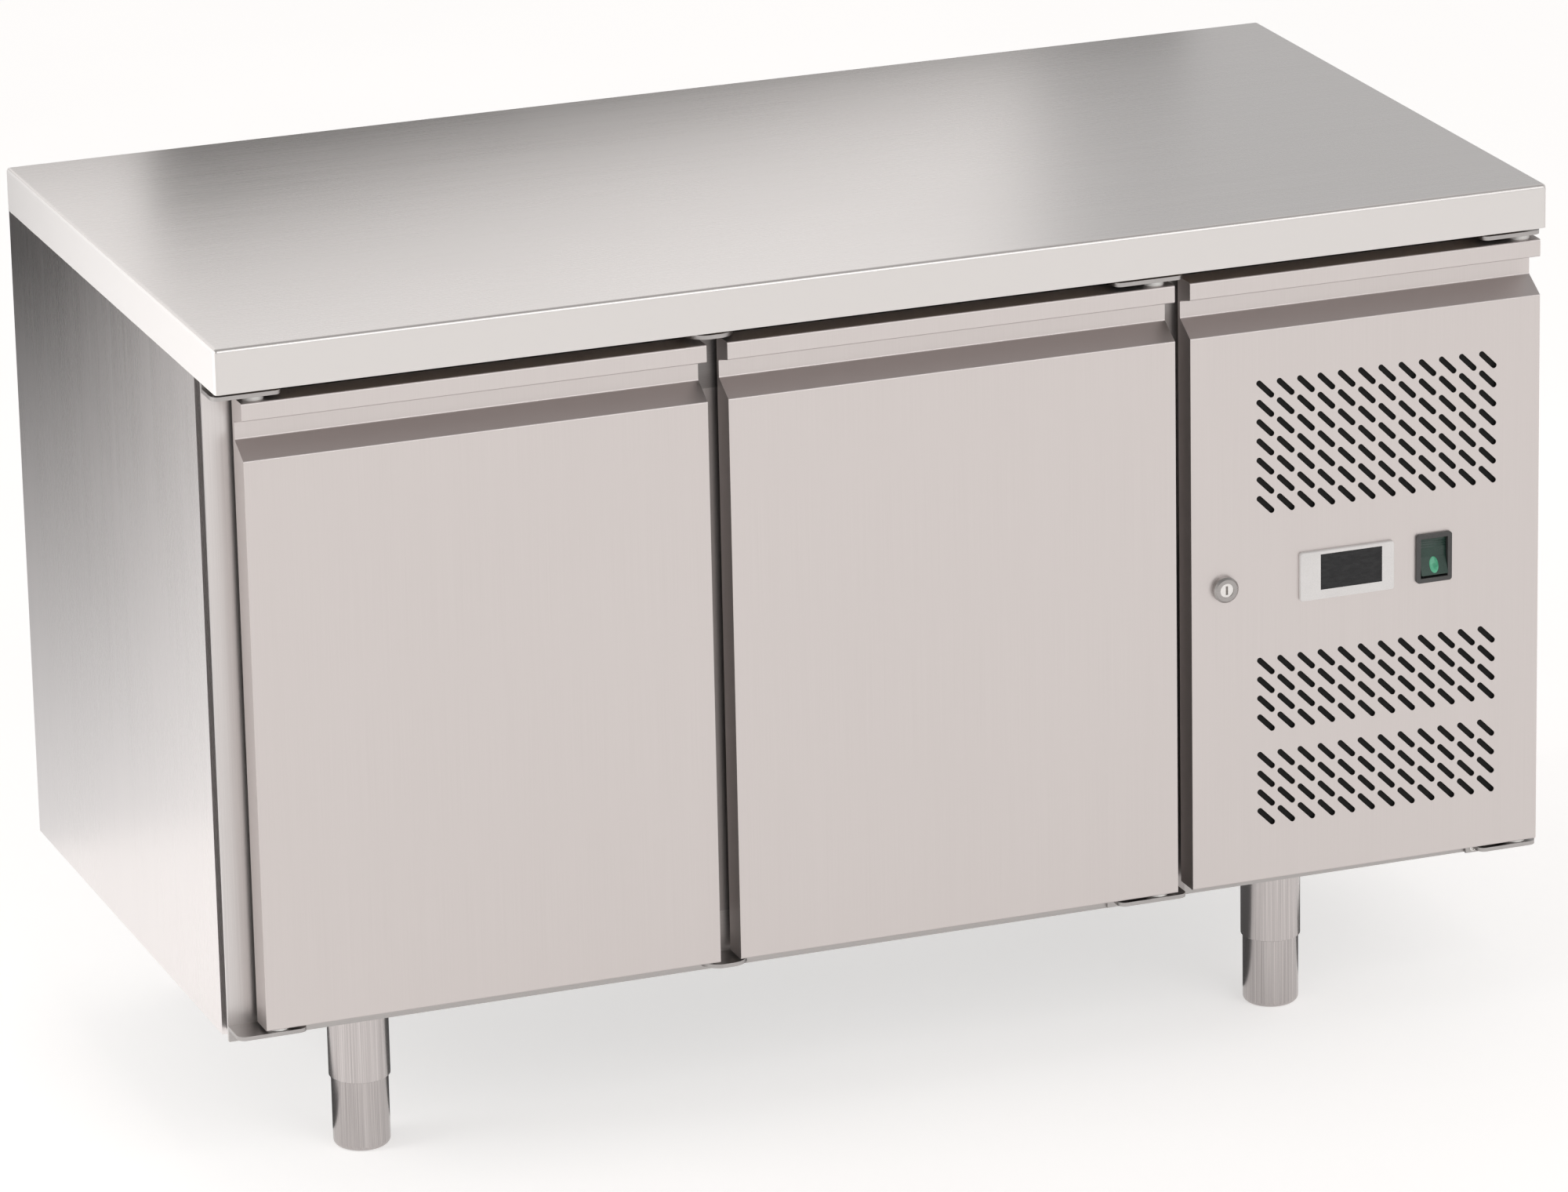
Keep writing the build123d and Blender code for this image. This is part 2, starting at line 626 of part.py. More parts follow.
def evaporator_housing():
    """Sheet cover round the evaporator, open to the back wall, with a round intake below."""
    housing = hollow_block(EVAPORATOR_X, (-120.0, LINER_BACK - 1.0), (330.0, LINER_TOP - 1.0), 1.5, "+y")
    intake = cylinder_z(sum(EVAPORATOR_X) / 2, EVAPORATOR_FAN_Y, (320.0, 340.0), 70.0)
    housing -= intake
    for row in range(9):
        z = 470.0 + row * 28.0
        for y in (-90.0, 30.0, 150.0):
            housing -= block((EVAPORATOR_X[0] - 5.0, EVAPORATOR_X[1] + 5.0), (y, y + 100.0), (z, z + 10.0))
    return housing


def evaporator_coil():
    """Finned block with its return bends at both ends."""
    x_span = (EVAPORATOR_X[0] + 14.0, EVAPORATOR_X[1] - 14.0)
    fins = block(x_span, (90.0, 250.0), (430.0, 735.0))
    parts = fins
    for row in range(6):
        z = 455.0 + row * 48.0
        parts += cylinder_y(sum(x_span) / 2 - 30.0, (78.0, 262.0), z, 5.0)
        parts += cylinder_y(sum(x_span) / 2 + 30.0, (78.0, 262.0), z, 5.0)
    return parts


def evaporator_drip_tray():
    tray_x = (EVAPORATOR_X[0] + 4.0, EVAPORATOR_X[1] - 4.0)
    return hollow_block(tray_x, (76.0, 280.0), (395.0, 420.0), 1.5, "+z")


def evaporator_fan_motor():
    """Motor hung from a flat arm across the housing."""
    middle = sum(EVAPORATOR_X) / 2
    can = cylinder_z(middle, EVAPORATOR_FAN_Y, (375.0, 425.0), 32.0)
    arm_x = (EVAPORATOR_X[0] + 1.5, EVAPORATOR_X[1] - 1.5)
    arm = block(arm_x, (EVAPORATOR_FAN_Y - 8.0, EVAPORATOR_FAN_Y + 8.0), (425.0, 431.0))
    shaft = cylinder_z(middle, EVAPORATOR_FAN_Y, (345.0, 376.0), 3.0)
    return can + arm + shaft


def axial_fan(radius, hub_radius, hub_height, bore, blades=5):
    """Axial fan about +Z at the origin: a hub with flat blades set at a pitch."""
    pitch = 26.0
    blade_span = radius - hub_radius + 4.0
    fan = Cylinder(hub_radius, hub_height)
    rim = Cylinder(radius, hub_height * 3)
    flat_blade = Rot(pitch, 0, 0) * Box(blade_span, radius * 0.62, 2.0)
    blade = (Pos(hub_radius - 4.0 + blade_span / 2, 0, 0) * flat_blade) & rim
    for index in range(blades):
        fan += Rot(0, 0, index * 360.0 / blades) * blade
    return fan - Cylinder(bore, hub_height * 3)


def evaporator_fan_blade():
    fan = axial_fan(62.0, 18.0, 16.0, 3.0 + PIN_PLAY)
    return Pos(sum(EVAPORATOR_X) / 2, EVAPORATOR_FAN_Y, 358.0) * fan


def fan_guard(radius, rings, wire=1.5):
    """Round wire guard in the XY plane: rings joined by four bars."""
    guard = Box(2 * radius, 2 * wire, 2 * wire) + Box(2 * wire, 2 * radius, 2 * wire)
    for index in range(1, rings + 1):
        guard += Torus(radius * index / rings, wire)
    return guard


def evaporator_fan_guard():
    return Pos(sum(EVAPORATOR_X) / 2, EVAPORATOR_FAN_Y, 328.5) * fan_guard(72.0, 5)


SHELF_Z = 470.0
SHELF_LEFT_X = (-604.0, -286.0)
SHELF_RIGHT_X = (-80.0, 242.0)
SHELF_Y = (-262.0, 262.0)
UPRIGHT_Y = (-235.0, 235.0)
RUNNER_Y = (-250.0, 250.0)


def shelf_supports():
    """Slotted uprights at the corners of each shelf space, and the angle runners between them."""
    pieces = []
    for x_span in (SHELF_LEFT_X, SHELF_RIGHT_X):
        for side, wall in ((-1.0, x_span[0] - 3.0), (1.0, x_span[1] + 3.0)):
            outer = wall + side * 10.0
            for y in UPRIGHT_Y:
                upright = block(sorted((wall, outer)), (y - 10.0, y + 10.0), (LINER_BOTTOM + 1.0, 700.0))
                for notch in range(9):
                    z = 260.0 + notch * 50.0
                    edge = wall - side
                    upright -= block(sorted((edge, wall + side * 4.0)), (y - 4.0, y + 4.0), (z, z + 12.0))
                pieces.append(upright)
            foot = SHELF_Z - 6.5
            ledge = block(sorted((wall, wall - side * 16.0)), RUNNER_Y, (foot, foot + 1.5))
            fence = block(sorted((wall, wall - side * 1.5)), RUNNER_Y, (foot, SHELF_Z + 8.0))
            pieces.append(ledge + fence)
    return pieces


def wire_shelf(x_span):
    """Welded wire shelf: a rod frame, wires from front to back and two cross rods beneath."""
    rod = 3.5
    cross_rod = 3.0
    wire = 1.8
    gap = 3.0
    left = x_span[0] + gap + rod
    right = x_span[1] - gap - rod
    shelf = cylinder_y(left, SHELF_Y, SHELF_Z, rod) + cylinder_y(right, SHELF_Y, SHELF_Z, rod)
    for y in (SHELF_Y[0] + 8.0, -90.0, 90.0, SHELF_Y[1] - 8.0):
        shelf += cylinder_x((left + 1.0, right - 1.0), y, SHELF_Z, cross_rod)
    count = 13
    for index in range(1, count + 1):
        x = left + (right - left) * index / (count + 1)
        shelf += cylinder_y(x, (SHELF_Y[0] + 3.0, SHELF_Y[1] - 3.0), SHELF_Z + 4.0, wire)
    return shelf


# Legs


def leg_tube(x, y):
    """Stainless leg tube under its mounting plate."""
    plate = block((x - 50.0, x + 50.0), (y - 50.0, y + 50.0), (BOTTOM - 3.0, BOTTOM))
    plate = fillet(plate.edges().filter_by(Axis.Z), 8.0)
    tube = cylinder_z(x, y, (LEG_BOTTOM, BOTTOM - 3.0), LEG_RADIUS)
    bore = cylinder_z(x, y, (LEG_BOTTOM - 1.0, BOTTOM - 3.0), FOOT_RADIUS + RUN_GAP)
    tube = fillet(tube.faces().sort_by(Axis.Z)[0].edges(), 1.0)
    return plate + (tube - bore)


def adjustable_foot(x, y):
    """Sleeve that screws out of the leg tube, rounded where it meets the floor."""
    sleeve = cylinder_z(x, y, (0.0, FOOT_TOP), FOOT_RADIUS)
    return fillet(sleeve.faces().sort_by(Axis.Z)[0].edges(), 6.0)


# Condensing unit, in the compressor compartment


def condensing_unit_tray():
    return hollow_block((322.0, 668.0), (-260.0, 325.0), (BOTTOM + 2.0, BOTTOM + 14.0), 1.5, "+z")


def compressor():
    """Welded steel compressor shell on its feet, with its terminal box."""
    x, y = 500.0, 90.0
    shell = Pos(x, y, 268.0) * Cylinder(80.0, 190.0)
    shell = fillet(shell.edges(), 38.0)
    foot = block((x - 95.0, x + 95.0), (y - 70.0, y + 70.0), (168.0, 176.0))
    foot = fillet(foot.edges().filter_by(Axis.Z), 16.0)
    stem = cylinder_z(x, y, (170.0, 190.0), 55.0)
    box = block((x - 112.0, x - 60.0), (y - 30.0, y + 30.0), (235.0, 300.0))
    whole = shell + foot + stem + box
    for dx in (-80.0, 80.0):
        for dy in (-55.0, 55.0):
            whole += cylinder_z(x + dx, y + dy, (BOTTOM + 3.5, 169.0), 11.0)
    return whole


def condenser_coil():
    """Finned condenser behind the lower slots, with bends at its ends."""
    fins = block(COIL_X, (-245.0, -195.0), COIL_Z)
    coil = fins
    for row in range(7):
        z = COIL_Z[0] + 27.0 + row * 41.0
        for y in (-232.0, -208.0):
            coil += cylinder_x((COIL_X[0] - 12.0, COIL_X[1] + 12.0), y, z, 5.0)
    return coil


def condenser_fan_shroud():
    """Sheet funnel behind the condenser, with the fan's round opening in its back."""
    shroud = hollow_block(COIL_X, (-195.0, -150.0), COIL_Z, 1.5, "-y")
    return shroud - cylinder_y(FAN_X, (-160.0, -140.0), FAN_Z, 122.0)


def condenser_fan_motor():
    can = cylinder_y(FAN_X, (-118.0, -52.0), FAN_Z, 42.0)
    arms = block((COIL_X[0] + 4.0, COIL_X[1] - 4.0), (-94.0, -88.0), (FAN_Z - 9.0, FAN_Z + 9.0))
    for x_span in ((COIL_X[0] + 4.0, COIL_X[0] + 8.0), (COIL_X[1] - 8.0, COIL_X[1] - 4.0)):
        arms += block(x_span, (-150.0, -88.0), (FAN_Z - 9.0, FAN_Z + 9.0))
    shaft = cylinder_y(FAN_X, (-150.0, -117.0), FAN_Z, 4.0)
    return can + arms + shaft


def condenser_fan_blade():
    fan = axial_fan(112.0, 28.0, 22.0, 4.0 + PIN_PLAY)
    return Pos(FAN_X, -140.0, FAN_Z) * (Rot(90, 0, 0) * fan)


def electrical_box():
    box = block((560.0, 665.0), (130.0, 300.0), (520.0, 660.0))
    return fillet(box.edges().filter_by(Axis.Y), 6.0)


def defrost_water_tray():
    return hollow_block((350.0, 655.0), (190.0, 320.0), (BOTTOM + 15.0, BOTTOM + 55.0), 2.0, "+z")


def refrigerant_pipes():
    """Discharge pipe to the condenser and the pair that runs through the divider to the evaporator."""
    radius = 4.0
    bend = 16.0
    shell_top_z = 363.2
    run_x = 328.0
    run_y = -20.0
    discharge = [
        (500.0, 9.8, 250.0),
        (500.0, run_y, 250.0),
        (run_x, run_y, 250.0),
        (run_x, -220.0, 250.0),
        (run_x, -220.0, 420.0),
    ]
    pipes = [bent_tube(discharge, radius, bend)]
    for shift, start_x in ((-7.0, 470.0), (7.0, 510.0)):
        y = PIPE_HOLE_Y + shift
        end_x = EVAPORATOR_X[1] + RUN_GAP
        route = [
            (start_x, 120.0, shell_top_z),
            (start_x, 120.0, 400.0),
            (start_x, y, 400.0),
            (start_x, y, PIPE_HOLE_Z),
            (end_x, y, PIPE_HOLE_Z),
        ]
        pipes.append(bent_tube(route, radius, bend))
    return pipes


def body_screws():
    """Pan-head screws: leg plates, lower hinge brackets and rear covers."""
    screws = []
    for x in LEG_X:
        for y in LEG_Y:
            for dx in (-40.0, 40.0):
                for dy in (-40.0, 40.0):
                    screws.append(cylinder_z(x + dx, y + dy, (BOTTOM - 6.0, BOTTOM - 3.0), 4.5))
    for x in (-670.0, -618.0, 240.0, 290.0, 624.0, 672.0):
        screws.append(cylinder_y(x, (FRAME_FRONT - 5.0, FRAME_FRONT - 3.0), BOTTOM + 6.0, 3.6))
    for x in (-600.0, -350.0, -100.0, 150.0, 335.0, 655.0):
        for z in (BOTTOM + 30.0, TOP - 30.0):
            screws.append(cylinder_y(x, (BACK, BACK + 2.5), z, 4.0))
    return screws


# Writing the parts

save("worktop_skin", worktop_skin())
save("worktop_board", worktop_board())
save("left_side_panel", side_panel(LEFT, 1.0, FRAME_BACK))
save("right_side_panel", side_panel(RIGHT, -1.0, FRAME_FRONT, vent=True))
save("back_panel", back_panel())
save("compressor_back_grille", compressor_back_grille())
save("power_cord_gland", power_cord_gland())
save("base_panel", base_panel())
save("insulation_panels", *insulation_panels())
save("inner_liner", inner_liner())
save("left_front_post", left_front_post())
mullion_x = (MULLION_LEFT, MULLION_RIGHT)
save("centre_mullion", upright_post(mullion_x, (OPENING_BOTTOM, OPENING_TOP)))
save("divider_front_post", divider_front_post())
save("top_front_rails", *front_rail((OPENING_TOP, TOP), (DOOR_TOP - 15.0, TOP)))
save("bottom_front_rails", *front_rail((BOTTOM, OPENING_BOTTOM), (BOTTOM + SHEET, DOOR_BOTTOM - 2.0)))
save("plastic_trims", *opening_trims())

door_1_x = (DOOR_1_LEFT, DOOR_1_LEFT + DOOR_WIDTH)
door_2_x = (DOOR_2_LEFT, DOOR_2_LEFT + DOOR_WIDTH)
for name, x_span, hinge_x in (("door_1", door_1_x, HINGE_1_X), ("door_2", door_2_x, HINGE_2_X)):
    save(f"{name}_skin", door_skin(x_span, hinge_x))
    save(f"{name}_foam", door_foam(x_span, hinge_x))
    save(f"{name}_inner_panel", door_inner_panel(x_span))
    save(f"{name}_gasket", door_gasket(x_span))
    save(f"{name}_bushes", *hinge_bushes(hinge_x))

panel = service_panel()
for flange in panel_back_flanges():
    panel += flange
save("service_panel", panel)
save("service_panel_bushes", *hinge_bushes(HINGE_3_X))
save("thermostat_case", thermostat_case())
save("thermostat_window", thermostat_window())
save("switch_frame", switch_frame())
save("switch_rocker", switch_rocker())
save("lock_barrel", lock_barrel())
save("lock_cylinder", lock_cylinder())

brackets = hinge_bracket_pair(HINGE_1_X, LEFT_JAMB + 10.0, LEFT)
brackets += hinge_bracket_pair(HINGE_2_X, DIVIDER_LEFT - 30.0, PANEL_LEFT - 4.0)
brackets += hinge_bracket_pair(HINGE_3_X, HINGE_3_X - 44.0, RIGHT)
save("hinge_brackets", *brackets, *mullion_plates())
save("hinge_pins", *hinge_pins())

save("evaporator_housing", evaporator_housing())
save("evaporator_coil", evaporator_coil())
save("evaporator_drip_tray", evaporator_drip_tray())
save("evaporator_fan_motor", evaporator_fan_motor())
save("evaporator_fan_blade", evaporator_fan_blade())
save("evaporator_fan_guard", evaporator_fan_guard())
save("shelf_supports", *shelf_supports())
save("left_wire_shelf", wire_shelf(SHELF_LEFT_X))
save("right_wire_shelf", wire_shelf(SHELF_RIGHT_X))

corner_names = {(0, 0): "front_left", (1, 0): "front_right", (0, 1): "back_left", (1, 1): "back_right"}
tubes = []
for (column, row), corner in corner_names.items():
    tubes.append(leg_tube(LEG_X[column], LEG_Y[row]))
    save(f"foot_{corner}", adjustable_foot(LEG_X[column], LEG_Y[row]))
save("leg_tubes", *tubes)

save("condensing_unit_tray", condensing_unit_tray())
save("compressor", compressor())
save("condenser_coil", condenser_coil())
save("condenser_fan_shroud", condenser_fan_shroud())
save("condenser_fan_motor", condenser_fan_motor())
save("condenser_fan_blade", condenser_fan_blade())
save("electrical_box", electrical_box())
save("defrost_water_tray", defrost_water_tray())
save("refrigerant_pipes", *refrigerant_pipes())
save("body_screws", *body_screws())
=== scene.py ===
import math

import bmesh
import bpy
import numpy as np
from mathutils import Matrix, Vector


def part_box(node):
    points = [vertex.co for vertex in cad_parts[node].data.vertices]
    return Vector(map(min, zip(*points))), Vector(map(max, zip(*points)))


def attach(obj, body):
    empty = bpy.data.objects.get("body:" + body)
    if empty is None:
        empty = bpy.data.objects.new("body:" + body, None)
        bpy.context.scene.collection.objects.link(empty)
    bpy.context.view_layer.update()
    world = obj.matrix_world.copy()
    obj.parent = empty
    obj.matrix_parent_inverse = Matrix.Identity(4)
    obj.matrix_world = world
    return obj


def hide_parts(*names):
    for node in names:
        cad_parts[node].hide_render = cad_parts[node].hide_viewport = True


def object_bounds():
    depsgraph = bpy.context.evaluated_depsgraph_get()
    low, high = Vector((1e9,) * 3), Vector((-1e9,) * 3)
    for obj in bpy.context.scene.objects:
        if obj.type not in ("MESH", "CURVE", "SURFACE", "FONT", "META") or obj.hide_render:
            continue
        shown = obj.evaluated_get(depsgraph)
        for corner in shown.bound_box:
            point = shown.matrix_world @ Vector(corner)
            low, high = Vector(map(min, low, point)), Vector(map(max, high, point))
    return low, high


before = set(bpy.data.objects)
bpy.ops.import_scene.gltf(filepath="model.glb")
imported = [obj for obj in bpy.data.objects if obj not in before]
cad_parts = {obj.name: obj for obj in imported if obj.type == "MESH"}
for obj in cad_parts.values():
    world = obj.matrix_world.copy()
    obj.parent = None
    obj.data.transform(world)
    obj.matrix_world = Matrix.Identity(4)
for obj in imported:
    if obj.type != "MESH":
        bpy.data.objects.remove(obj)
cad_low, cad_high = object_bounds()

# Worktop. A tray of stainless sheet, folded down on all four sides over a stiffening board.
# It is brushed along its length, and its folded edges are a little rougher than its top.


def new_material(name, metallic=0.0, roughness=0.5):
    """A Principled material; gives back the material, its node tree and its shader."""
    material = bpy.data.materials.new(name)
    material.use_nodes = True
    shader = material.node_tree.nodes["Principled BSDF"]
    shader.inputs["Metallic"].default_value = metallic
    shader.inputs["Roughness"].default_value = roughness
    return material, material.node_tree, shader


def noise(tree, scale, detail=3.0, stretch=(1.0, 1.0, 1.0)):
    """Noise in the object's own metres: scale is in cells per metre, times stretch along each axis."""
    place = tree.nodes.new("ShaderNodeTexCoord")
    mapping = tree.nodes.new("ShaderNodeMapping")
    mapping.inputs["Scale"].default_value = stretch
    texture = tree.nodes.new("ShaderNodeTexNoise")
    texture.inputs["Scale"].default_value = scale
    texture.inputs["Detail"].default_value = detail
    tree.links.new(place.outputs["Object"], mapping.inputs["Vector"])
    tree.links.new(mapping.outputs["Vector"], texture.inputs["Vector"])
    return texture.outputs["Fac"]


def blend_values(tree, first, second, share):
    """first and second mixed, with the given share of second."""
    mix = tree.nodes.new("ShaderNodeMix")
    mix.inputs["Factor"].default_value = share
    tree.links.new(first, mix.inputs["A"])
    tree.links.new(second, mix.inputs["B"])
    return mix.outputs["Result"]


def tones(tree, value, dark, light, span=(0.35, 0.65)):
    """Turns a noise value into a colour between a dark and a light tone."""
    ramp = tree.nodes.new("ShaderNodeValToRGB")
    for element, position, tone in zip(ramp.color_ramp.elements, span, (dark, light)):
        element.position = position
        element.color = (*tone, 1.0)
    tree.links.new(value, ramp.inputs["Fac"])
    return ramp.outputs["Color"]


def between(tree, value, low, high, span=(0.3, 0.7)):
    """Turns a noise value into a number from low to high."""
    scale = tree.nodes.new("ShaderNodeMapRange")
    scale.inputs["From Min"].default_value = span[0]
    scale.inputs["From Max"].default_value = span[1]
    scale.inputs["To Min"].default_value = low
    scale.inputs["To Max"].default_value = high
    tree.links.new(value, scale.inputs["Value"])
    return scale.outputs["Result"]


def bump(tree, shader, height, strength, distance):
    """Fine relief from a height value; distance is the relief's depth in metres."""
    relief = tree.nodes.new("ShaderNodeBump")
    relief.inputs["Strength"].default_value = strength
    relief.inputs["Distance"].default_value = distance
    tree.links.new(height, relief.inputs["Height"])
    tree.links.new(relief.outputs["Normal"], shader.inputs["Normal"])


SCRATCH_FINENESS = 240.0           # how many times narrower than long
BAND_FINENESS = 26.0


def brushed_steel(name, along, dark, light, smooth, rough):
    """Stainless sheet with its brushing along one axis: long fine scratches, and handling marks."""
    material, tree, shader = new_material(name, metallic=1.0)
    fine = [1.0 if axis == along else SCRATCH_FINENESS for axis in "XYZ"]
    broad = [1.0 if axis == along else BAND_FINENESS for axis in "XYZ"]
    scratches = noise(tree, scale=6.0, detail=3.0, stretch=fine)
    bands = noise(tree, scale=2.0, detail=2.0, stretch=broad)
    marks = noise(tree, scale=4.0, detail=2.0)
    grain = blend_values(tree, scratches, bands, share=0.25)
    worn = blend_values(tree, grain, marks, share=0.4)
    tree.links.new(tones(tree, grain, dark, light, span=(0.2, 0.8)), shader.inputs["Base Color"])
    tree.links.new(between(tree, worn, smooth, rough, span=(0.2, 0.8)), shader.inputs["Roughness"])
    bump(tree, shader, scratches, strength=0.05, distance=0.00002)
    return material


def dress(material, *nodes):
    """Puts a material in every slot of the named CAD nodes."""
    for node in nodes:
        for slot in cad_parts[node].material_slots:
            slot.material = material


def mixed_with(tree, kind, first, value, share):
    """first mixed with one fixed value, by a share worked out in the tree."""
    mix = tree.nodes.new("ShaderNodeMix")
    mix.data_type = kind
    first_input, value_input = [entry for entry in mix.inputs if entry.enabled and entry.name in "AB"]
    value_input.default_value = value
    tree.links.new(first, first_input)
    tree.links.new(share, mix.inputs["Factor"])
    return next(result for result in mix.outputs if result.enabled)


def where_over(material, output, axis, limit, tone, roughness):
    """Changes the sheet's tone and gloss where a coordinate output's size along an axis is over a limit."""
    tree = material.node_tree
    shader = tree.nodes["Principled BSDF"]
    place = tree.nodes.new("ShaderNodeTexCoord")
    split = tree.nodes.new("ShaderNodeSeparateXYZ")
    distance = tree.nodes.new("ShaderNodeMath")
    distance.operation = "ABSOLUTE"
    past = tree.nodes.new("ShaderNodeMath")
    past.operation = "GREATER_THAN"
    past.inputs[1].default_value = limit
    tree.links.new(place.outputs[output], split.inputs["Vector"])
    tree.links.new(split.outputs[axis], distance.inputs[0])
    tree.links.new(distance.outputs[0], past.inputs[0])
    for name, kind, value in (("Base Color", "RGBA", (*tone, 1.0)), ("Roughness", "FLOAT", roughness)):
        before = shader.inputs[name].links[0].from_socket
        tree.links.new(mixed_with(tree, kind, before, value, past.outputs[0]), shader.inputs[name])


worktop_steel = brushed_steel(
    "worktop_steel", "X", dark=(0.72, 0.69, 0.675), light=(0.78, 0.75, 0.735), smooth=0.24, rough=0.31
)
FACING = 0.7                       # a face's normal has at least this much along an axis it faces
END_SHEET = 0.0012                 # thickness of the folded ends
# Painted shade: the faces towards the front and the back get a darker tone than the top.
where_over(worktop_steel, "Normal", "Y", FACING, tone=(0.68, 0.655, 0.64), roughness=0.34)
# Painted highlight: both end faces are made much lighter, as if caught by light from the side.
where_over(worktop_steel, "Object", "X", cad_high[0] - END_SHEET, tone=(0.93, 0.91, 0.90), roughness=0.62)
dress(worktop_steel, "worktop_skin")


def pressed_chips(name):
    """Chipboard: pale and brown chips pressed together, as flattened noise with a rough face."""
    material, tree, shader = new_material(name, roughness=0.85)
    chips = noise(tree, scale=260.0, detail=6.0, stretch=(1.0, 1.0, 0.4))
    tree.links.new(tones(tree, chips, (0.33, 0.21, 0.11), (0.64, 0.47, 0.29)), shader.inputs["Base Color"])
    bump(tree, shader, chips, strength=0.4, distance=0.0004)
    return material


dress(pressed_chips("chipboard"), "worktop_board")

# Cabinet shell. The sides, front posts, rails and liner are brushed stainless sheet. The back,
# the base and the rear grille, which nobody sees, are hot-dip galvanised sheet with its spangle.

side_steel = brushed_steel(
    "side_steel", "Z", dark=(0.79, 0.75, 0.74), light=(0.85, 0.81, 0.80), smooth=0.24, rough=0.32
)
dress(side_steel, "left_side_panel", "right_side_panel")

frame_steel = brushed_steel(
    "frame_steel", "Z", dark=(0.58, 0.55, 0.54), light=(0.69, 0.66, 0.65), smooth=0.26, rough=0.38
)
dress(frame_steel, "left_front_post")
# Painted shade: the centre mullion and the divider post, seen only through the gaps between the doors, are
# made dark.
painted_shade_steel = brushed_steel(
    "painted_shade_steel", "Z", dark=(0.30, 0.28, 0.275), light=(0.38, 0.355, 0.345), smooth=0.34, rough=0.46
)
dress(painted_shade_steel, "centre_mullion", "divider_front_post")

# Painted shade: the bottom rails, in the gap under the doors, are made darker than the rest of the sheet.
bottom_rail_painted_shade = brushed_steel(
    "bottom_rail_painted_shade", "X", dark=(0.40, 0.38, 0.37), light=(0.48, 0.46, 0.45), smooth=0.34, rough=0.46
)
dress(bottom_rail_painted_shade, "bottom_front_rails")
# Painted shade: the top rails, in the gap under the worktop, are made nearly black.
top_rail_painted_shade = brushed_steel(
    "top_rail_painted_shade", "X", dark=(0.19, 0.178, 0.174), light=(0.24, 0.226, 0.22), smooth=0.36, rough=0.48
)
dress(top_rail_painted_shade, "top_front_rails")

liner_steel = brushed_steel(
    "liner_steel", "Z", dark=(0.62, 0.61, 0.60), light=(0.72, 0.71, 0.70), smooth=0.20, rough=0.30
)
dress(liner_steel, "inner_liner", "shelf_supports", "evaporator_housing")


def galvanised_sheet(name):
    """Zinc spangle: flat crystals of slightly different grey and gloss, about a centimetre wide."""
    material, tree, shader = new_material(name, metallic=0.9)
    place = tree.nodes.new("ShaderNodeTexCoord")
    crystals = tree.nodes.new("ShaderNodeTexVoronoi")
    crystals.inputs["Scale"].default_value = 110.0
    split = tree.nodes.new("ShaderNodeSeparateColor")
    tree.links.new(place.outputs["Object"], crystals.inputs["Vector"])
    tree.links.new(crystals.outputs["Color"], split.inputs["Color"])
    shade = tones(tree, split.outputs["Red"], (0.44, 0.45, 0.455), (0.55, 0.56, 0.565), span=(0.0, 1.0))
    tree.links.new(shade, shader.inputs["Base Color"])
    gloss = between(tree, split.outputs["Green"], 0.38, 0.58, span=(0.0, 1.0))
    tree.links.new(gloss, shader.inputs["Roughness"])
    bump(tree, shader, noise(tree, scale=420.0), strength=0.15, distance=0.0001)
    return material


zinc = galvanised_sheet("galvanised_sheet")
dress(zinc, "back_panel", "base_panel", "compressor_back_grille")
dress(zinc, "condensing_unit_tray", "defrost_water_tray")

# Insulation. Polyurethane foam, poured between the sheets of the cabinet and of the doors: pale
# yellow, with fine cells. Its upright ends, towards the compressor, carry a grey barrier sheet.


def poured_foam(name):
    """Foam cells less than a millimetre wide, in a colour that is deeper in the hollows."""
    material, tree, shader = new_material(name)
    cells = noise(tree, scale=1500.0, detail=2.0)
    lumps = noise(tree, scale=18.0, detail=3.0)
    mixed = blend_values(tree, cells, lumps, share=0.5)
    tree.links.new(tones(tree, mixed, (0.58, 0.47, 0.24), (0.80, 0.71, 0.47)), shader.inputs["Base Color"])
    tree.links.new(between(tree, lumps, 0.82, 0.94), shader.inputs["Roughness"])
    bump(tree, shader, cells, strength=0.5, distance=0.0003)
    return material


foam = poured_foam("foam")
where_over(foam, "Normal", "X", FACING, tone=(0.40, 0.40, 0.39), roughness=0.6)
dress(foam, "insulation_panels", "door_1_foam", "door_2_foam")

# Doors and service panel. Folded stainless skins with the finger channel pressed into them. The
# two doors have a pressed inner sheet, and a grey rubber gasket that is pushed into its edge.

door_steel = brushed_steel(
    "door_steel", "Z", dark=(0.605, 0.56, 0.545), light=(0.64, 0.595, 0.58), smooth=0.34, rough=0.42
)
CHANNEL_SLOPE = 0.4                # least part of the normal along Z on the channel's slope
# Painted shade: faces that look upwards, chiefly the finger channel's slope under its lip, get a darker
# tone.
where_over(door_steel, "Normal", "Z", CHANNEL_SLOPE, tone=(0.55, 0.51, 0.50), roughness=0.42)
dress(door_steel, "door_1_skin", "door_2_skin", "service_panel")
dress(liner_steel, "door_1_inner_panel", "door_2_inner_panel")


def grid_faces(rows, columns, first, wrap_rows, wrap_columns):
    """Four-sided faces between the points of a grid, numbered row by row from first."""
    row = np.arange(rows if wrap_rows else rows - 1)[:, None]
    column = np.arange(columns if wrap_columns else columns - 1)[None, :]
    next_row = (row + 1) % rows
    next_column = (column + 1) % columns
    corners = [
        row * columns + column,
        next_row * columns + column,
        next_row * columns + next_column,
        row * columns + next_column,
    ]
    return first + np.stack(corners, axis=-1).reshape(-1, 4)


MERGE_DISTANCE = 0.000005
SHARP_ANGLE = math.radians(35)


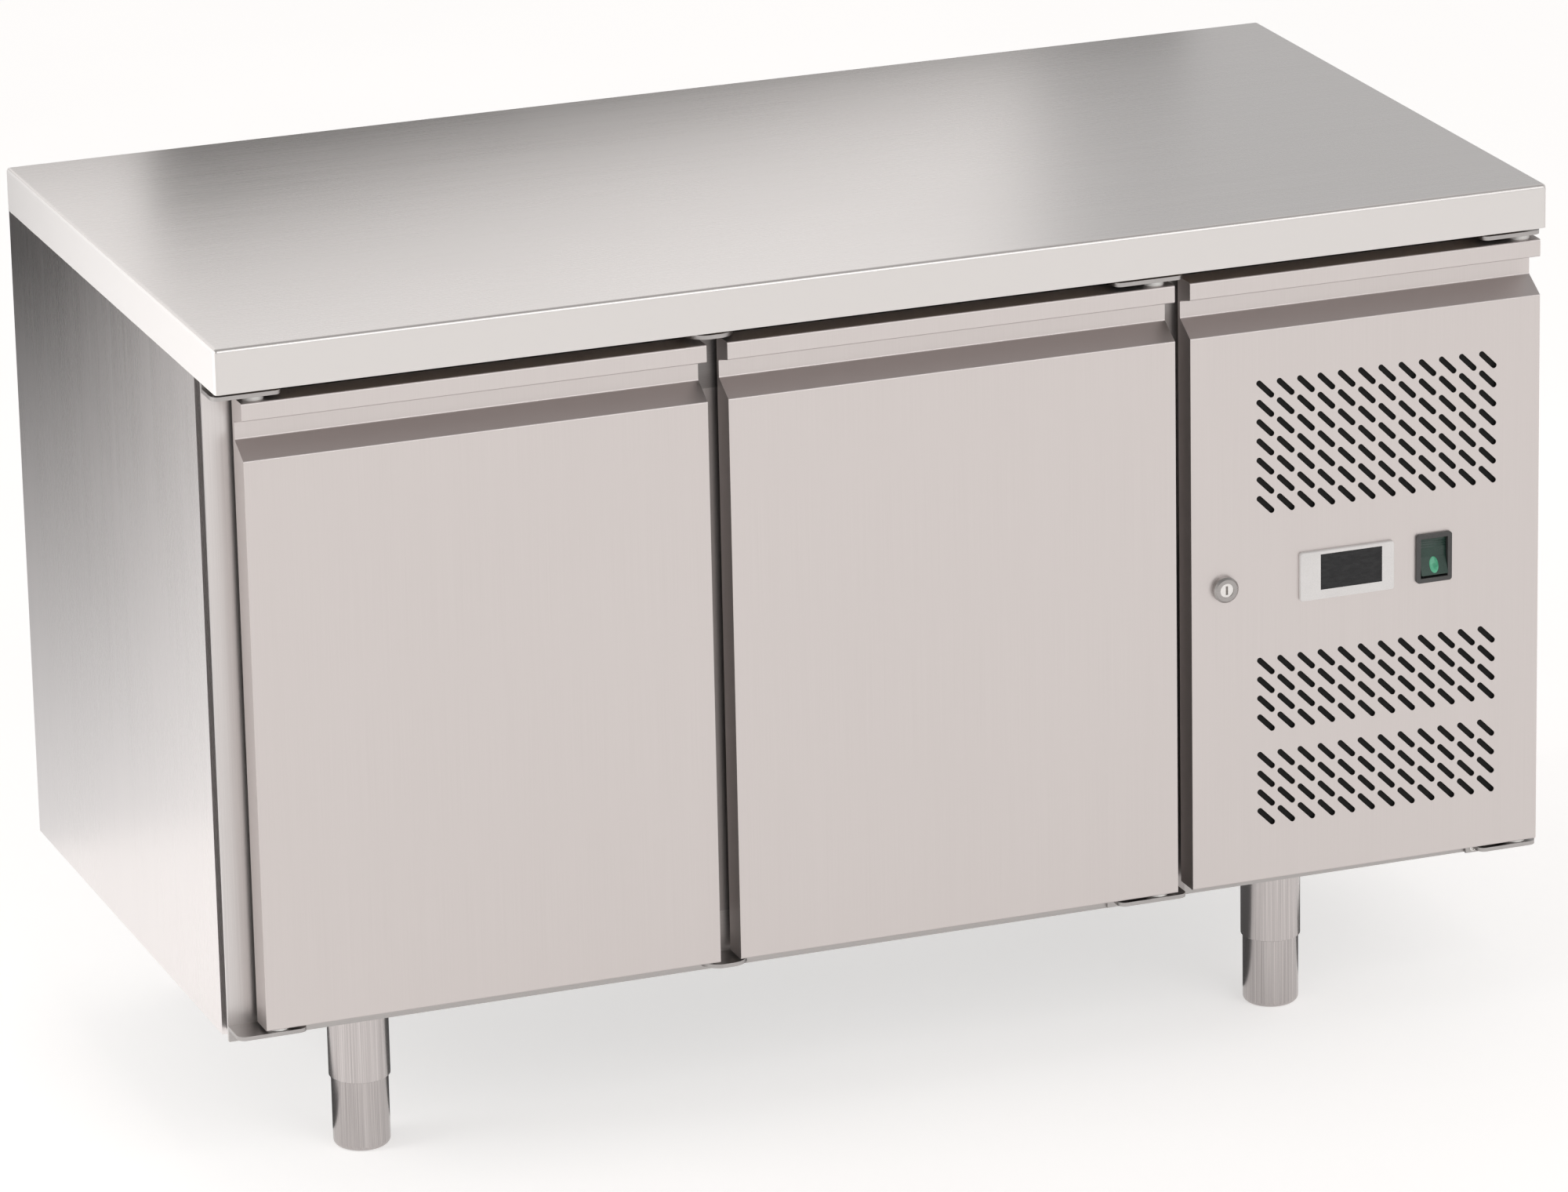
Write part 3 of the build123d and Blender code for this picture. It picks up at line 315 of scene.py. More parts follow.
def make_piece(name, grids, material, body, stands_for=()):
    """One mesh from grids of points, each given with whether its rows and its columns close up.

    Points that meet are merged, so a row drawn together into one point closes the surface, and
    faces are then turned outwards.
    """
    points = []
    faces = []
    count = 0
    for grid, wrap_rows, wrap_columns in grids:
        rows, columns = grid.shape[:2]
        points.append(grid.reshape(-1, 3))
        faces.append(grid_faces(rows, columns, count, wrap_rows, wrap_columns))
        count += rows * columns
    mesh = bpy.data.meshes.new(name)
    mesh.from_pydata(np.concatenate(points), [], np.concatenate(faces))
    shape = bmesh.new()
    shape.from_mesh(mesh)
    bmesh.ops.remove_doubles(shape, verts=shape.verts, dist=MERGE_DISTANCE)
    bmesh.ops.dissolve_degenerate(shape, edges=shape.edges, dist=MERGE_DISTANCE)
    bmesh.ops.recalc_face_normals(shape, faces=shape.faces)
    shape.to_mesh(mesh)
    shape.free()
    mesh.shade_smooth()
    mesh.set_sharp_from_angle(angle=SHARP_ANGLE)
    mesh.materials.append(material)
    piece = bpy.data.objects.new(name, mesh)
    bpy.context.scene.collection.objects.link(piece)
    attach(piece, body)
    if stands_for:
        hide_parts(*stands_for)


def moulded(name, dark, light, roughness, grain=900.0, depth=0.00008):
    """Moulded plastic or rubber: an even fine texture, and a faint drift of colour from its flow."""
    material, tree, shader = new_material(name, roughness=roughness)
    texture = noise(tree, grain, detail=2.0)
    flow = noise(tree, scale=22.0, detail=3.0)
    mixed = blend_values(tree, texture, flow, share=0.6)
    tree.links.new(tones(tree, mixed, dark, light), shader.inputs["Base Color"])
    tree.links.new(between(tree, mixed, roughness - 0.06, roughness + 0.08), shader.inputs["Roughness"])
    bump(tree, shader, texture, strength=0.3, distance=depth)
    return material


gasket_rubber = moulded("gasket_rubber", (0.055, 0.05, 0.05), (0.085, 0.08, 0.08), roughness=0.6)

GASKET_WIDTH = 0.014
GASKET_SQUARENESS = 0.6
BELLOWS_WAIST = 0.67


def gasket_ring(door):
    """A waisted strip carried round a rectangle, with mitred corners.

    Round the strip's section the angle t gives the width from cos t and the depth from sin t, both
    to the power of the squareness. The width shrinks to its waist at half depth, where the bellows
    fold is. Each point then moves from its corner of the rectangle towards the middle by its width.
    """
    node = f"{door}_gasket"
    low, high = (np.array(corner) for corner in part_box(node))
    middle_y = (low[1] + high[1]) / 2
    half_depth = (high[1] - low[1]) / 2
    t = np.linspace(0.0, 2.0 * np.pi, 40, endpoint=False)
    across = np.sign(np.cos(t)) * np.abs(np.cos(t)) ** GASKET_SQUARENESS
    deep = np.sign(np.sin(t)) * np.abs(np.sin(t)) ** GASKET_SQUARENESS
    across *= BELLOWS_WAIST + (1.0 - BELLOWS_WAIST) * deep**2
    inward = GASKET_WIDTH / 2 * (1.0 + across)
    corner = np.array([(low[0], low[2]), (high[0], low[2]), (high[0], high[2]), (low[0], high[2])])
    towards = np.array([(1, 1), (-1, 1), (-1, -1), (1, -1)])
    flat = corner[:, None, :] + towards[:, None, :] * inward[None, :, None]
    depth = np.broadcast_to(middle_y + half_depth * deep, flat.shape[:2])
    points = np.stack([flat[..., 0], depth, flat[..., 1]], axis=-1)
    make_piece(f"{node}_bellows", [(points, True, True)], gasket_rubber, door, [node])


gasket_ring("door_1")
gasket_ring("door_2")

trim_plastic = moulded("dark_trim", (0.022, 0.020, 0.020), (0.04, 0.038, 0.038), roughness=0.5)
dress(trim_plastic, "plastic_trims")

# Hinges. Plated angle brackets with fixed pins, screwed to the front frame. The pins turn in
# flanged white nylon bushes, pressed into the top and the foot of each door.


def plated(name, tone, roughness):
    """Bright zinc or nickel plate: nearly even, with faint clouds and fine polishing lines."""
    material, tree, shader = new_material(name, metallic=1.0)
    clouds = noise(tree, scale=60.0, detail=4.0)
    lines = noise(tree, scale=8.0, detail=3.0, stretch=(1.0, 160.0, 160.0))
    mixed = blend_values(tree, clouds, lines, share=0.4)
    dark = [0.86 * part for part in tone]
    tree.links.new(tones(tree, mixed, dark, tone), shader.inputs["Base Color"])
    tree.links.new(between(tree, mixed, roughness, roughness + 0.14), shader.inputs["Roughness"])
    bump(tree, shader, lines, strength=0.15, distance=0.00003)
    return material


hardware_plate = plated("hardware_plate", tone=(0.80, 0.78, 0.76), roughness=0.22)
bracket_plate = plated("bracket_plate", tone=(0.46, 0.44, 0.43), roughness=0.32)
dress(bracket_plate, "hinge_brackets", "hinge_pins")
dress(hardware_plate, "evaporator_fan_guard")
nylon = moulded("white_nylon", (0.74, 0.73, 0.71), (0.86, 0.85, 0.83), roughness=0.42)
dress(nylon, "door_1_bushes", "door_2_bushes", "service_panel_bushes")

# Screws. Pan heads with a cross recess: four to each leg plate, and more along the brackets and
# the rear covers. They are plated steel.

WELD_DISTANCE = 0.000001


def solid_boxes(node):
    """The box of each separate solid in a CAD node, as (low, high) pairs, found by its loose parts."""
    shape = bmesh.new()
    shape.from_mesh(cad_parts[node].data)
    bmesh.ops.remove_doubles(shape, verts=shape.verts, dist=WELD_DISTANCE)
    left = set(shape.verts)
    found = []
    while left:
        island = [left.pop()]
        for vert in island:
            for edge in vert.link_edges:
                other = edge.other_vert(vert)
                if other in left:
                    left.remove(other)
                    island.append(other)
        corners = np.array([vert.co for vert in island])
        found.append((corners.min(axis=0), corners.max(axis=0)))
    shape.free()
    return sorted(found, key=lambda box: tuple(np.round(box[0], 5)))


CROSS_ARM_HALF_WIDTH = 0.13        # as shares of the head's radius
CROSS_REACH = 0.62
CROSS_FLOOR = 0.45                 # as a share of the head's height


def screw_head(low, high):
    """A pan head over its box, with a cross sunk into it.

    The head's height at radius r is the square root of one minus r to the fourth, and it drops to
    the cross's floor where a point is close enough to either arm and to the middle.
    """
    size = high - low
    thin = int(np.argmin(size))
    radius = size[(thin + 1) % 3] / 2
    centre = (low + high) / 2
    outward = -1.0 if (thin == 2 or centre[thin] < 0.0) else 1.0
    base = high[thin] if outward < 0 else low[thin]
    ring = np.concatenate([[1.0], np.linspace(1.0, 0.0, 9)])[:, None]
    turn = np.linspace(0.0, 2.0 * np.pi, 24, endpoint=False)[None, :]
    across = ring * np.cos(turn)
    up = ring * np.sin(turn)
    dome = np.sqrt(np.clip(1.0 - ring**4, 0.0, 1.0)) * np.ones_like(turn)
    arm = (np.minimum(np.abs(across), np.abs(up)) < CROSS_ARM_HALF_WIDTH) & (ring < CROSS_REACH)
    height = dome * size[thin] * np.where(arm, CROSS_FLOOR, 1.0)
    height[0] = 0.0
    points = np.zeros((*across.shape, 3))
    points[..., (thin + 1) % 3] = centre[(thin + 1) % 3] + radius * across
    points[..., (thin + 2) % 3] = centre[(thin + 2) % 3] + radius * up
    points[..., thin] = base + outward * height
    floor = points[:1].repeat(2, axis=0)
    floor[1] = floor[0].mean(axis=0)
    return [(points, False, True), (floor, False, True)]


heads = [grid for low, high in solid_boxes("body_screws") for grid in screw_head(low, high)]
make_piece("screw_heads", heads, hardware_plate, "cabinet", ["body_screws"])

# Controls on the service panel. A digital thermostat with a dark window in a pale bezel, a
# rocker switch with a lit green lens in a black frame, and a plated key lock.

bezel_plastic = moulded("bezel_plastic", (0.63, 0.61, 0.60), (0.72, 0.70, 0.69), roughness=0.42)
dress(bezel_plastic, "thermostat_case")
black_plastic = moulded("black_plastic", (0.018, 0.018, 0.018), (0.034, 0.034, 0.034), roughness=0.42)
dress(black_plastic, "electrical_box", "power_cord_gland")
rim_plastic = moulded("rim_plastic", (0.042, 0.041, 0.041), (0.066, 0.064, 0.063), roughness=0.45)
dress(rim_plastic, "switch_frame")


def smoked_window(name):
    """Smoked acrylic over the display: nearly black, glossy, with faint wiping marks."""
    material, tree, shader = new_material(name)
    marks = noise(tree, scale=140.0, detail=4.0, stretch=(1.0, 1.0, 3.0))
    smoke = tones(tree, marks, (0.006, 0.006, 0.007), (0.016, 0.016, 0.017))
    tree.links.new(smoke, shader.inputs["Base Color"])
    tree.links.new(between(tree, marks, 0.10, 0.22), shader.inputs["Roughness"])
    shader.inputs["Specular IOR Level"].default_value = 0.35
    return material


dress(smoked_window("smoked_window"), "thermostat_window")
dress(plated("lock_sleeve", tone=(0.40, 0.38, 0.37), roughness=0.22), "lock_barrel")
dress(plated("lock_core", tone=(0.80, 0.78, 0.76), roughness=0.22), "lock_cylinder")

ROCKER_PIVOT = np.array((0.5625, -0.337, 0.4815))
ROCKER_TILT = math.radians(9.0)
ROCKER_HALF_WIDTH = 0.0142
ROCKER_HALF_HEIGHT = 0.0186
ROCKER_MIDDLE_RISE = 0.005
ROCKER_END_RISE = ROCKER_MIDDLE_RISE + ROCKER_HALF_HEIGHT * math.tan(ROCKER_TILT)
ROCKER_KEEL = 0.009
ROCKER_KEEL_HALF_HEIGHT = 0.004
GRIP_DEPTH = 0.0006
TRUNNION_HALF_LENGTH = 0.016
TRUNNION_RADIUS = 0.0015


def tilted(y, z):
    """Depth and height about the pivot, turned by the rocker's tilt and moved to the pivot."""
    turned_y = y * math.cos(ROCKER_TILT) + z * math.sin(ROCKER_TILT)
    turned_z = z * math.cos(ROCKER_TILT) - y * math.sin(ROCKER_TILT)
    return ROCKER_PIVOT[1] + turned_y, ROCKER_PIVOT[2] + turned_z


def rocker_grids():
    """The rocker's outline, carried across its width and drawn to its middle at both sides.

    Seen from the side the outline is a polygon in depth and height about the pivot. Its front has
    two flats that rise towards both ends, and a keel lies behind. The upper flat sinks by a
    squared sine of the way along it, which leaves three grip ribs.
    """
    corner = np.array(
        [
            (-ROCKER_MIDDLE_RISE, 0.0), (-ROCKER_END_RISE, ROCKER_HALF_HEIGHT), (0.0, ROCKER_HALF_HEIGHT),
            (ROCKER_KEEL, ROCKER_KEEL_HALF_HEIGHT), (ROCKER_KEEL, -ROCKER_KEEL_HALF_HEIGHT),
            (0.0, -ROCKER_HALF_HEIGHT), (-ROCKER_END_RISE, -ROCKER_HALF_HEIGHT), (-ROCKER_MIDDLE_RISE, 0.0),
        ]
    )
    steps = np.linalg.norm(np.diff(corner, axis=0), axis=1)
    length = np.concatenate([[0.0], np.cumsum(steps)])
    along = np.unique(np.concatenate([np.linspace(0.0, length[-1], 240), length]))[:-1]
    y = np.interp(along, length, corner[:, 0])
    z = np.interp(along, length, corner[:, 1])
    grip = (along / length[1] - 0.5) / 0.4
    y += GRIP_DEPTH * np.sin(3.0 * np.pi * grip) ** 2 * ((grip > 0.0) & (grip < 1.0))
    side = np.array([-1.0, -1.0, -0.95, 0.95, 1.0, 1.0])[:, None]
    reach = np.array([0.0, 0.97, 1.0, 1.0, 0.97, 0.0])[:, None]
    turned_y, turned_z = tilted(y * reach, z * reach)
    x = ROCKER_PIVOT[0] + ROCKER_HALF_WIDTH * side * np.ones_like(y)
    return [(np.stack([x, turned_y, turned_z], axis=-1), False, True)]


SLANTED = (0.31, 0.42, 0.85)       # a direction that no bar or tube runs along


def round_bar(start, end, radius, sides=16):
    """A straight bar with flat ends: circles round the line from start to end, drawn in at both ends."""
    along = (end - start) / np.linalg.norm(end - start)
    first = np.cross(along, SLANTED)
    first /= np.linalg.norm(first)
    second = np.cross(along, first)
    t = np.linspace(0.0, 2.0 * np.pi, sides, endpoint=False)[:, None]
    circle = radius * (np.cos(t) * first + np.sin(t) * second)
    rows = [start + 0.0 * circle, start + circle, end + circle, end + 0.0 * circle]
    return [(np.stack(rows), False, True)]


rocker_plastic = moulded("rocker_plastic", (0.010, 0.030, 0.022), (0.020, 0.052, 0.038), roughness=0.3)
trunnion_end = np.array((TRUNNION_HALF_LENGTH, 0.0, 0.0))
make_piece(
    "rocker_cap",
    rocker_grids() + round_bar(ROCKER_PIVOT - trunnion_end, ROCKER_PIVOT + trunnion_end, TRUNNION_RADIUS),
    rocker_plastic, "rocker", ["switch_rocker"],
)


def lit_lens(name):
    """Green lens over the switch's lamp: slightly cloudy, and faintly lit from behind."""
    material, tree, shader = new_material(name, roughness=0.2)
    cloud = noise(tree, scale=160.0, detail=3.0)
    tree.links.new(tones(tree, cloud, (0.04, 0.22, 0.13), (0.10, 0.38, 0.24)), shader.inputs["Base Color"])
    tree.links.new(between(tree, cloud, 0.14, 0.28), shader.inputs["Roughness"])
    shader.inputs["Emission Color"].default_value = (0.05, 0.6, 0.25, 1.0)
    shader.inputs["Emission Strength"].default_value = 0.10
    return material


def lens_dome(share, half_width, half_length, rise):
    """A low dome on the lower flat, at a share of the way down it.

    Over the unit disc (u, v) its height is rise times the root of 1 - u^2 - v^2. The disc's v runs
    down the flat, and the height stands square to it.
    """
    ring = np.sin(np.linspace(np.pi / 2, 0.0, 12))[:, None]
    turn = np.linspace(0.0, 2.0 * np.pi, 32, endpoint=False)[None, :]
    down = share * ROCKER_HALF_HEIGHT + half_length * ring * np.sin(turn) * math.cos(ROCKER_TILT)
    height = rise * np.sqrt(np.clip(1.0 - ring**2, 0.0, 1.0)) * np.ones_like(turn)
    flat = ROCKER_MIDDLE_RISE + down * math.tan(ROCKER_TILT)
    y, z = tilted(-flat - height, -down)
    x = ROCKER_PIVOT[0] + half_width * ring * np.cos(turn)
    dome = np.stack([x, y, z], axis=-1)
    foot = np.stack([dome[0], np.broadcast_to(dome[0].mean(axis=0), dome[0].shape)])
    return [(dome, False, True), (foot, False, True)]


lens = lens_dome(share=0.47, half_width=0.0048, half_length=0.0083, rise=0.0009)
make_piece("rocker_lens", lens, lit_lens("lit_lens"), "rocker")

# Dust filter. Black non-woven felt behind the panel's slots, held by its folded edges. It hides
# the compressor compartment, and its black also stands in as painted shade. It swings out with the panel.
# Its quilting is pressed in.

FILTER_X = (0.366, 0.637)
FILTER_UPPER_Z = (0.534, 0.702)
FILTER_LOWER_Z = (0.214, 0.416)
FILTER_Y = -0.3375
FILTER_THICKNESS = 0.002
QUILT_PITCH = 0.012
POINTS_PER_PITCH = 4


def quilted_sheet(x_span, z_span, y, thickness):
    """Two faces over a grid: each stands out by the product of two sines, one period per pitch."""
    x_count, z_count = (
        int((high - low) / QUILT_PITCH * POINTS_PER_PITCH) + 1 for low, high in (x_span, z_span)
    )
    x = np.linspace(*x_span, x_count)[None, :]
    z = np.linspace(*z_span, z_count)[:, None]
    wave = np.sin(2.0 * np.pi * x / QUILT_PITCH) * np.sin(2.0 * np.pi * z / QUILT_PITCH)
    wave[0] = wave[-1] = 0.0
    wave[:, 0] = wave[:, -1] = 0.0
    x = np.broadcast_to(x, wave.shape)
    z = np.broadcast_to(z, wave.shape)
    front = np.stack([x, y - thickness / 2 * (1.0 + 0.5 * wave), z], axis=-1)
    back = np.stack([x, y + thickness / 2 * (1.0 + 0.5 * wave), z], axis=-1)
    sides = [
        np.stack([front[0], back[0]]), np.stack([front[-1], back[-1]]),
        np.stack([front[:, 0], back[:, 0]]), np.stack([front[:, -1], back[:, -1]]),
    ]
    return [(grid, False, False) for grid in (front, back, *sides)]


filter_felt_and_shade = moulded(
    "filter_felt_and_shade", (0.008, 0.008, 0.008), (0.020, 0.019, 0.018), roughness=0.9, grain=1600.0
)
filter_sheets = quilted_sheet(FILTER_X, FILTER_UPPER_Z, FILTER_Y, FILTER_THICKNESS)
filter_sheets += quilted_sheet(FILTER_X, FILTER_LOWER_Z, FILTER_Y, FILTER_THICKNESS)
make_piece("dust_filter_and_shade", filter_sheets, filter_felt_and_shade, "service_door")

# Legs. A stainless tube under a welded plate, and an adjustable sleeve that screws out of it.
# Both are drawn and polished along their length, which leaves fine upright grain; their broad light and dark
# upright bands are painted reflections.

leg_grain_and_reflections = brushed_steel(
    "leg_grain_and_reflections", "Z", dark=(0.33, 0.30, 0.295), light=(0.72, 0.68, 0.67), smooth=0.18, rough=0.30
)
dress(leg_grain_and_reflections, "leg_tubes")
sleeve_grain_and_reflections = brushed_steel(
    "sleeve_grain_and_reflections", "Z", dark=(0.29, 0.265, 0.26), light=(0.66, 0.62, 0.61), smooth=0.18, rough=0.30
)
dress(sleeve_grain_and_reflections, "foot_front_left", "foot_front_right", "foot_back_left", "foot_back_right")

# Wire shelves. Steel rod, spot-welded into grids and dipped in pale grey polyester. They lie on the
# runners and lift out.

dipped_wire = moulded("dipped_wire", (0.62, 0.63, 0.64), (0.76, 0.77, 0.78), roughness=0.4)
dress(dipped_wire, "left_wire_shelf", "right_wire_shelf")

# Coils. Thin fins pressed onto copper tubes that run back and forth through them. The condenser's
# are painted black, which also stands in as painted shade behind the slots, and the evaporator's are left
# bright.


def boxes(centres, size):
    """Closed thin boxes of one size, one at each centre: two end rings round a four-cornered strip."""
    corner = np.array([(-1, -1), (1, -1), (1, 1), (-1, 1)]) / 2
    grids = []
    for centre in centres:
        points = np.zeros((4, 4, 3))
        for row, (reach, side) in enumerate(((0, -0.5), (1, -0.5), (1, 0.5), (0, 0.5))):
            points[row, :, 0] = centre[0] + side * size[0]
            points[row, :, 1] = centre[1] + reach * corner[:, 0] * size[1]
            points[row, :, 2] = centre[2] + reach * corner[:, 1] * size[2]
        grids.append((points, False, True))
    return grids


STRAIGHT = 1e-9                    # a path that bends less than this has no plane of its own


def tube(path, radius, sides=12):
    """A round tube along path points: each ring is a circle in the plane across the path there."""
    along = np.gradient(path, axis=0)
    along /= np.linalg.norm(along, axis=1, keepdims=True)
    plane = np.cross(path[0] - path[len(path) // 2], path[-1] - path[len(path) // 2])
    if np.linalg.norm(plane) < STRAIGHT:
        plane = np.cross(along[0], SLANTED)
    plane /= np.linalg.norm(plane)
    across = np.cross(along, plane)
    across /= np.linalg.norm(across, axis=1, keepdims=True)
    t = np.linspace(0.0, 2.0 * np.pi, sides, endpoint=False)
    circle = np.cos(t)[None, :, None] * plane[None, None, :] + np.sin(t)[None, :, None] * across[:, None, :]
    points = path[:, None, :] + radius * circle
    first = np.broadcast_to(path[0], points[:1].shape)
    last = np.broadcast_to(path[-1], points[:1].shape)
    return [(np.concatenate([first, points, last]), False, True)]


def hairpin(ends, bulge, steps=13):
    """A half turn from one end to the other that bulges out by the given vector."""
    t = np.linspace(0.0, np.pi, steps)[:, None]
    middle = (ends[0] + ends[1]) / 2
    half = (ends[0] - ends[1]) / 2
    return middle + np.cos(t) * half + np.sin(t) * bulge


def painted_metal(name, dark, light, roughness):
    """Sprayed enamel: a soft orange-peel surface with slightly uneven gloss."""
    material, tree, shader = new_material(name, roughness=roughness)
    peel = noise(tree, scale=520.0, detail=2.0)
    cloud = noise(tree, scale=14.0, detail=4.0)
    mixed = blend_values(tree, peel, cloud, share=0.6)
    tree.links.new(tones(tree, mixed, dark, light), shader.inputs["Base Color"])
    tree.links.new(between(tree, mixed, roughness - 0.06, roughness + 0.1), shader.inputs["Roughness"])
    bump(tree, shader, peel, strength=0.25, distance=0.00006)
    return material


black_enamel = painted_metal("black_enamel", (0.012, 0.012, 0.012), (0.026, 0.026, 0.026), roughness=0.4)
dress(black_enamel, "condenser_fan_shroud", "condenser_fan_motor", "evaporator_fan_motor")
bright_fins = plated("bright_fins", tone=(0.80, 0.81, 0.82), roughness=0.3)
dress(bright_fins, "evaporator_drip_tray")

FIN_THICKNESS = 0.0004
COIL_TUBE_RADIUS = 0.004
HAIRPIN_REACH = 0.007


def fin_block(name, node, low, high, pitch, rows, columns, material, order=(0, 1, 2)):
    """Fins across the first axis from low to high, with tube rows in Z joined by hairpins at both ends.

    The order says which axis of these points is X, which is Y and which is Z.
    """
    count = int((high[0] - low[0]) / pitch)
    x = low[0] + (np.arange(count) + 0.5) * (high[0] - low[0]) / count
    middle = (low + high) / 2
    centres = np.stack([x, np.full(count, middle[1]), np.full(count, middle[2])], axis=1)
    grids = boxes(centres, (FIN_THICKNESS, high[1] - low[1], high[2] - low[2]))
    bulge = np.array((HAIRPIN_REACH, 0.0, 0.0))
    for z in rows:
        ends = [np.array((low[0], y, z)) for y in columns]
        grids += tube(hairpin(ends, -bulge), COIL_TUBE_RADIUS)
        for y in columns:
            straight = np.array([(x_end, y, z) for x_end in (low[0], middle[0], high[0])])
            grids += tube(straight, COIL_TUBE_RADIUS, sides=8)
    for y, lift in zip(columns, (0, 1)):
        for z_low, z_high in zip(rows[lift::2], rows[lift + 1 :: 2]):
            ends = [np.array((high[0], y, z)) for z in (z_low, z_high)]
            grids += tube(hairpin(ends, bulge), COIL_TUBE_RADIUS)
    placed = [(grid[..., list(order)], wrap_rows, wrap_columns) for grid, wrap_rows, wrap_columns in grids]
    make_piece(name, placed, material, "cabinet", [node])


END_STUB = 0.012


def coil_box(node, order=(0, 1, 2)):
    """The fins' low and high corners: the node's box without its end stubs along the first axis."""
    low, high = (np.array(corner)[list(order)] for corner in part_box(node))
    stub = np.array((END_STUB, 0.0, 0.0))
    return low + stub, high - stub


CONDENSER_FIN_PITCH = 0.0026
CONDENSER_ROWS = 7
CONDENSER_FIRST_ROW = 0.027
CONDENSER_ROW_PITCH = 0.041
CONDENSER_COLUMNS_Y = (-0.232, -0.208)
# Black enamel, which also serves as painted shade seen through the panel's slots.
coil_enamel_and_shade = painted_metal("coil_enamel_and_shade", (0.030, 0.030, 0.030), (0.055, 0.054, 0.053), roughness=0.45)
condenser_low, condenser_high = coil_box("condenser_coil")
condenser_steps = CONDENSER_ROW_PITCH * np.arange(CONDENSER_ROWS)
condenser_rows = condenser_low[2] + CONDENSER_FIRST_ROW + condenser_steps
fin_block(
    "condenser_fins", "condenser_coil", condenser_low, condenser_high, CONDENSER_FIN_PITCH,
    condenser_rows, CONDENSER_COLUMNS_Y, coil_enamel_and_shade,
)

EVAPORATOR_FIN_PITCH = 0.0034
EVAPORATOR_ROWS = 6
EVAPORATOR_FIRST_ROW = 0.025
EVAPORATOR_ROW_PITCH = 0.048
EVAPORATOR_COLUMNS_X = (-0.213, -0.153)
ALONG_Y = (1, 0, 2)
evaporator_low, evaporator_high = coil_box("evaporator_coil", ALONG_Y)
evaporator_steps = EVAPORATOR_ROW_PITCH * np.arange(EVAPORATOR_ROWS)
evaporator_rows = evaporator_low[2] + EVAPORATOR_FIRST_ROW + evaporator_steps
fin_block(
    "evaporator_fins", "evaporator_coil", evaporator_low, evaporator_high, EVAPORATOR_FIN_PITCH,
    evaporator_rows, EVAPORATOR_COLUMNS_X, bright_fins, order=ALONG_Y,
)

# Fans. Five-bladed axial fans on the motor shafts: pressed aluminium for the condenser, and black
# nylon for the evaporator.


def lathe(profile, sides=48):
    """Profile points (radius, height) turned once about the Z axis."""
    turn = np.linspace(0.0, 2.0 * np.pi, sides, endpoint=False)
    radius = profile[:, :1]
    height = np.broadcast_to(profile[:, 1:], (len(profile), sides))
    return np.stack([radius * np.cos(turn), radius * np.sin(turn), height], axis=-1)


ROOT_PITCH = 38.0                  # degrees, at the hub
PITCH_EASE = 18.0                  # degrees less at the tip
CHORD = 0.52                       # as shares of the fan's radius
CHORD_SWELL = 0.16
CAMBER = 0.07                      # as a share of the chord
BLADE_HALF_THICKNESS = 0.0010
BLADE_ROWS = 14


def fan_grids(radius, hub_radius, hub_height, bore, blades=5):
    """Hub and cambered blades about Z.

    Along a blade r goes from inside the hub to the tip, the pitch eases, and the chord swells by a
    half sine. Round its section the angle t gives a chord place of half the cosine, a camber of
    one minus four times its square, and a thickness of the sine. The last row has no thickness,
    which closes the tip.
    """
    root = hub_radius * 0.9
    share = np.append(np.linspace(0.0, 1.0, BLADE_ROWS), 1.0)[:, None]
    r = root + share * (radius - root)
    t = np.linspace(0.0, 2.0 * np.pi, 28, endpoint=False)[None, :]
    pitch = np.radians(ROOT_PITCH - PITCH_EASE * share)
    chord = radius * (CHORD + CHORD_SWELL * np.sin(np.pi * share))
    place = 0.5 * np.cos(t)
    thickness = BLADE_HALF_THICKNESS * np.sin(t) * np.append(np.ones(BLADE_ROWS), 0.0)[:, None]
    camber = CAMBER * chord * (1.0 - 4.0 * place**2)
    sweep = place * chord * np.cos(pitch) - (thickness + camber) * np.sin(pitch)
    rise = place * chord * np.sin(pitch) + (thickness + camber) * np.cos(pitch)
    grids = []
    for index in range(blades):
        turn = 2.0 * np.pi * index / blades + sweep / r
        blade = np.stack([r * np.cos(turn), r * np.sin(turn), rise], axis=-1)
        grids.append((blade, False, True))
    edge = hub_height / 2
    profile = np.array(
        [
            (bore, -edge), (hub_radius * 0.92, -edge), (hub_radius, -edge * 0.8), (hub_radius, edge * 0.5),
            (hub_radius * 0.86, edge * 0.9), (hub_radius * 0.5, edge), (bore, edge), (bore, -edge),
        ]
    )
    grids.append((lathe(profile), False, True))
    return grids


def place_fan(grids, turn, centre):
    """The fan's grids turned by a 3 by 3 matrix and moved to its shaft."""
    return [(grid @ turn.T + centre, rows, columns) for grid, rows, columns in grids]


UPRIGHT = np.eye(3)
LYING = np.array([(1.0, 0.0, 0.0), (0.0, 0.0, -1.0), (0.0, 1.0, 0.0)])
CONDENSER_SHAFT = np.array((0.495, -0.14, 0.325))
EVAPORATOR_SHAFT = np.array((-0.183, -0.02, 0.358))
condenser_fan = fan_grids(radius=0.110, hub_radius=0.028, hub_height=0.022, bore=0.00405)
make_piece(
    "condenser_fan_wheel", place_fan(condenser_fan, LYING, CONDENSER_SHAFT),
    bright_fins, "condenser_fan", ["condenser_fan_blade"],
)
evaporator_fan = fan_grids(radius=0.061, hub_radius=0.018, hub_height=0.016, bore=0.00305)
make_piece(
    "evaporator_fan_wheel", place_fan(evaporator_fan, UPRIGHT, EVAPORATOR_SHAFT),
    black_plastic, "evaporator_fan", ["evaporator_fan_blade"],
)

# Compressor and pipes. A black steel shell, drawn in two halves and welded round its waist, on a
# foot plate with rubber grommets. Copper pipes are brazed into it.


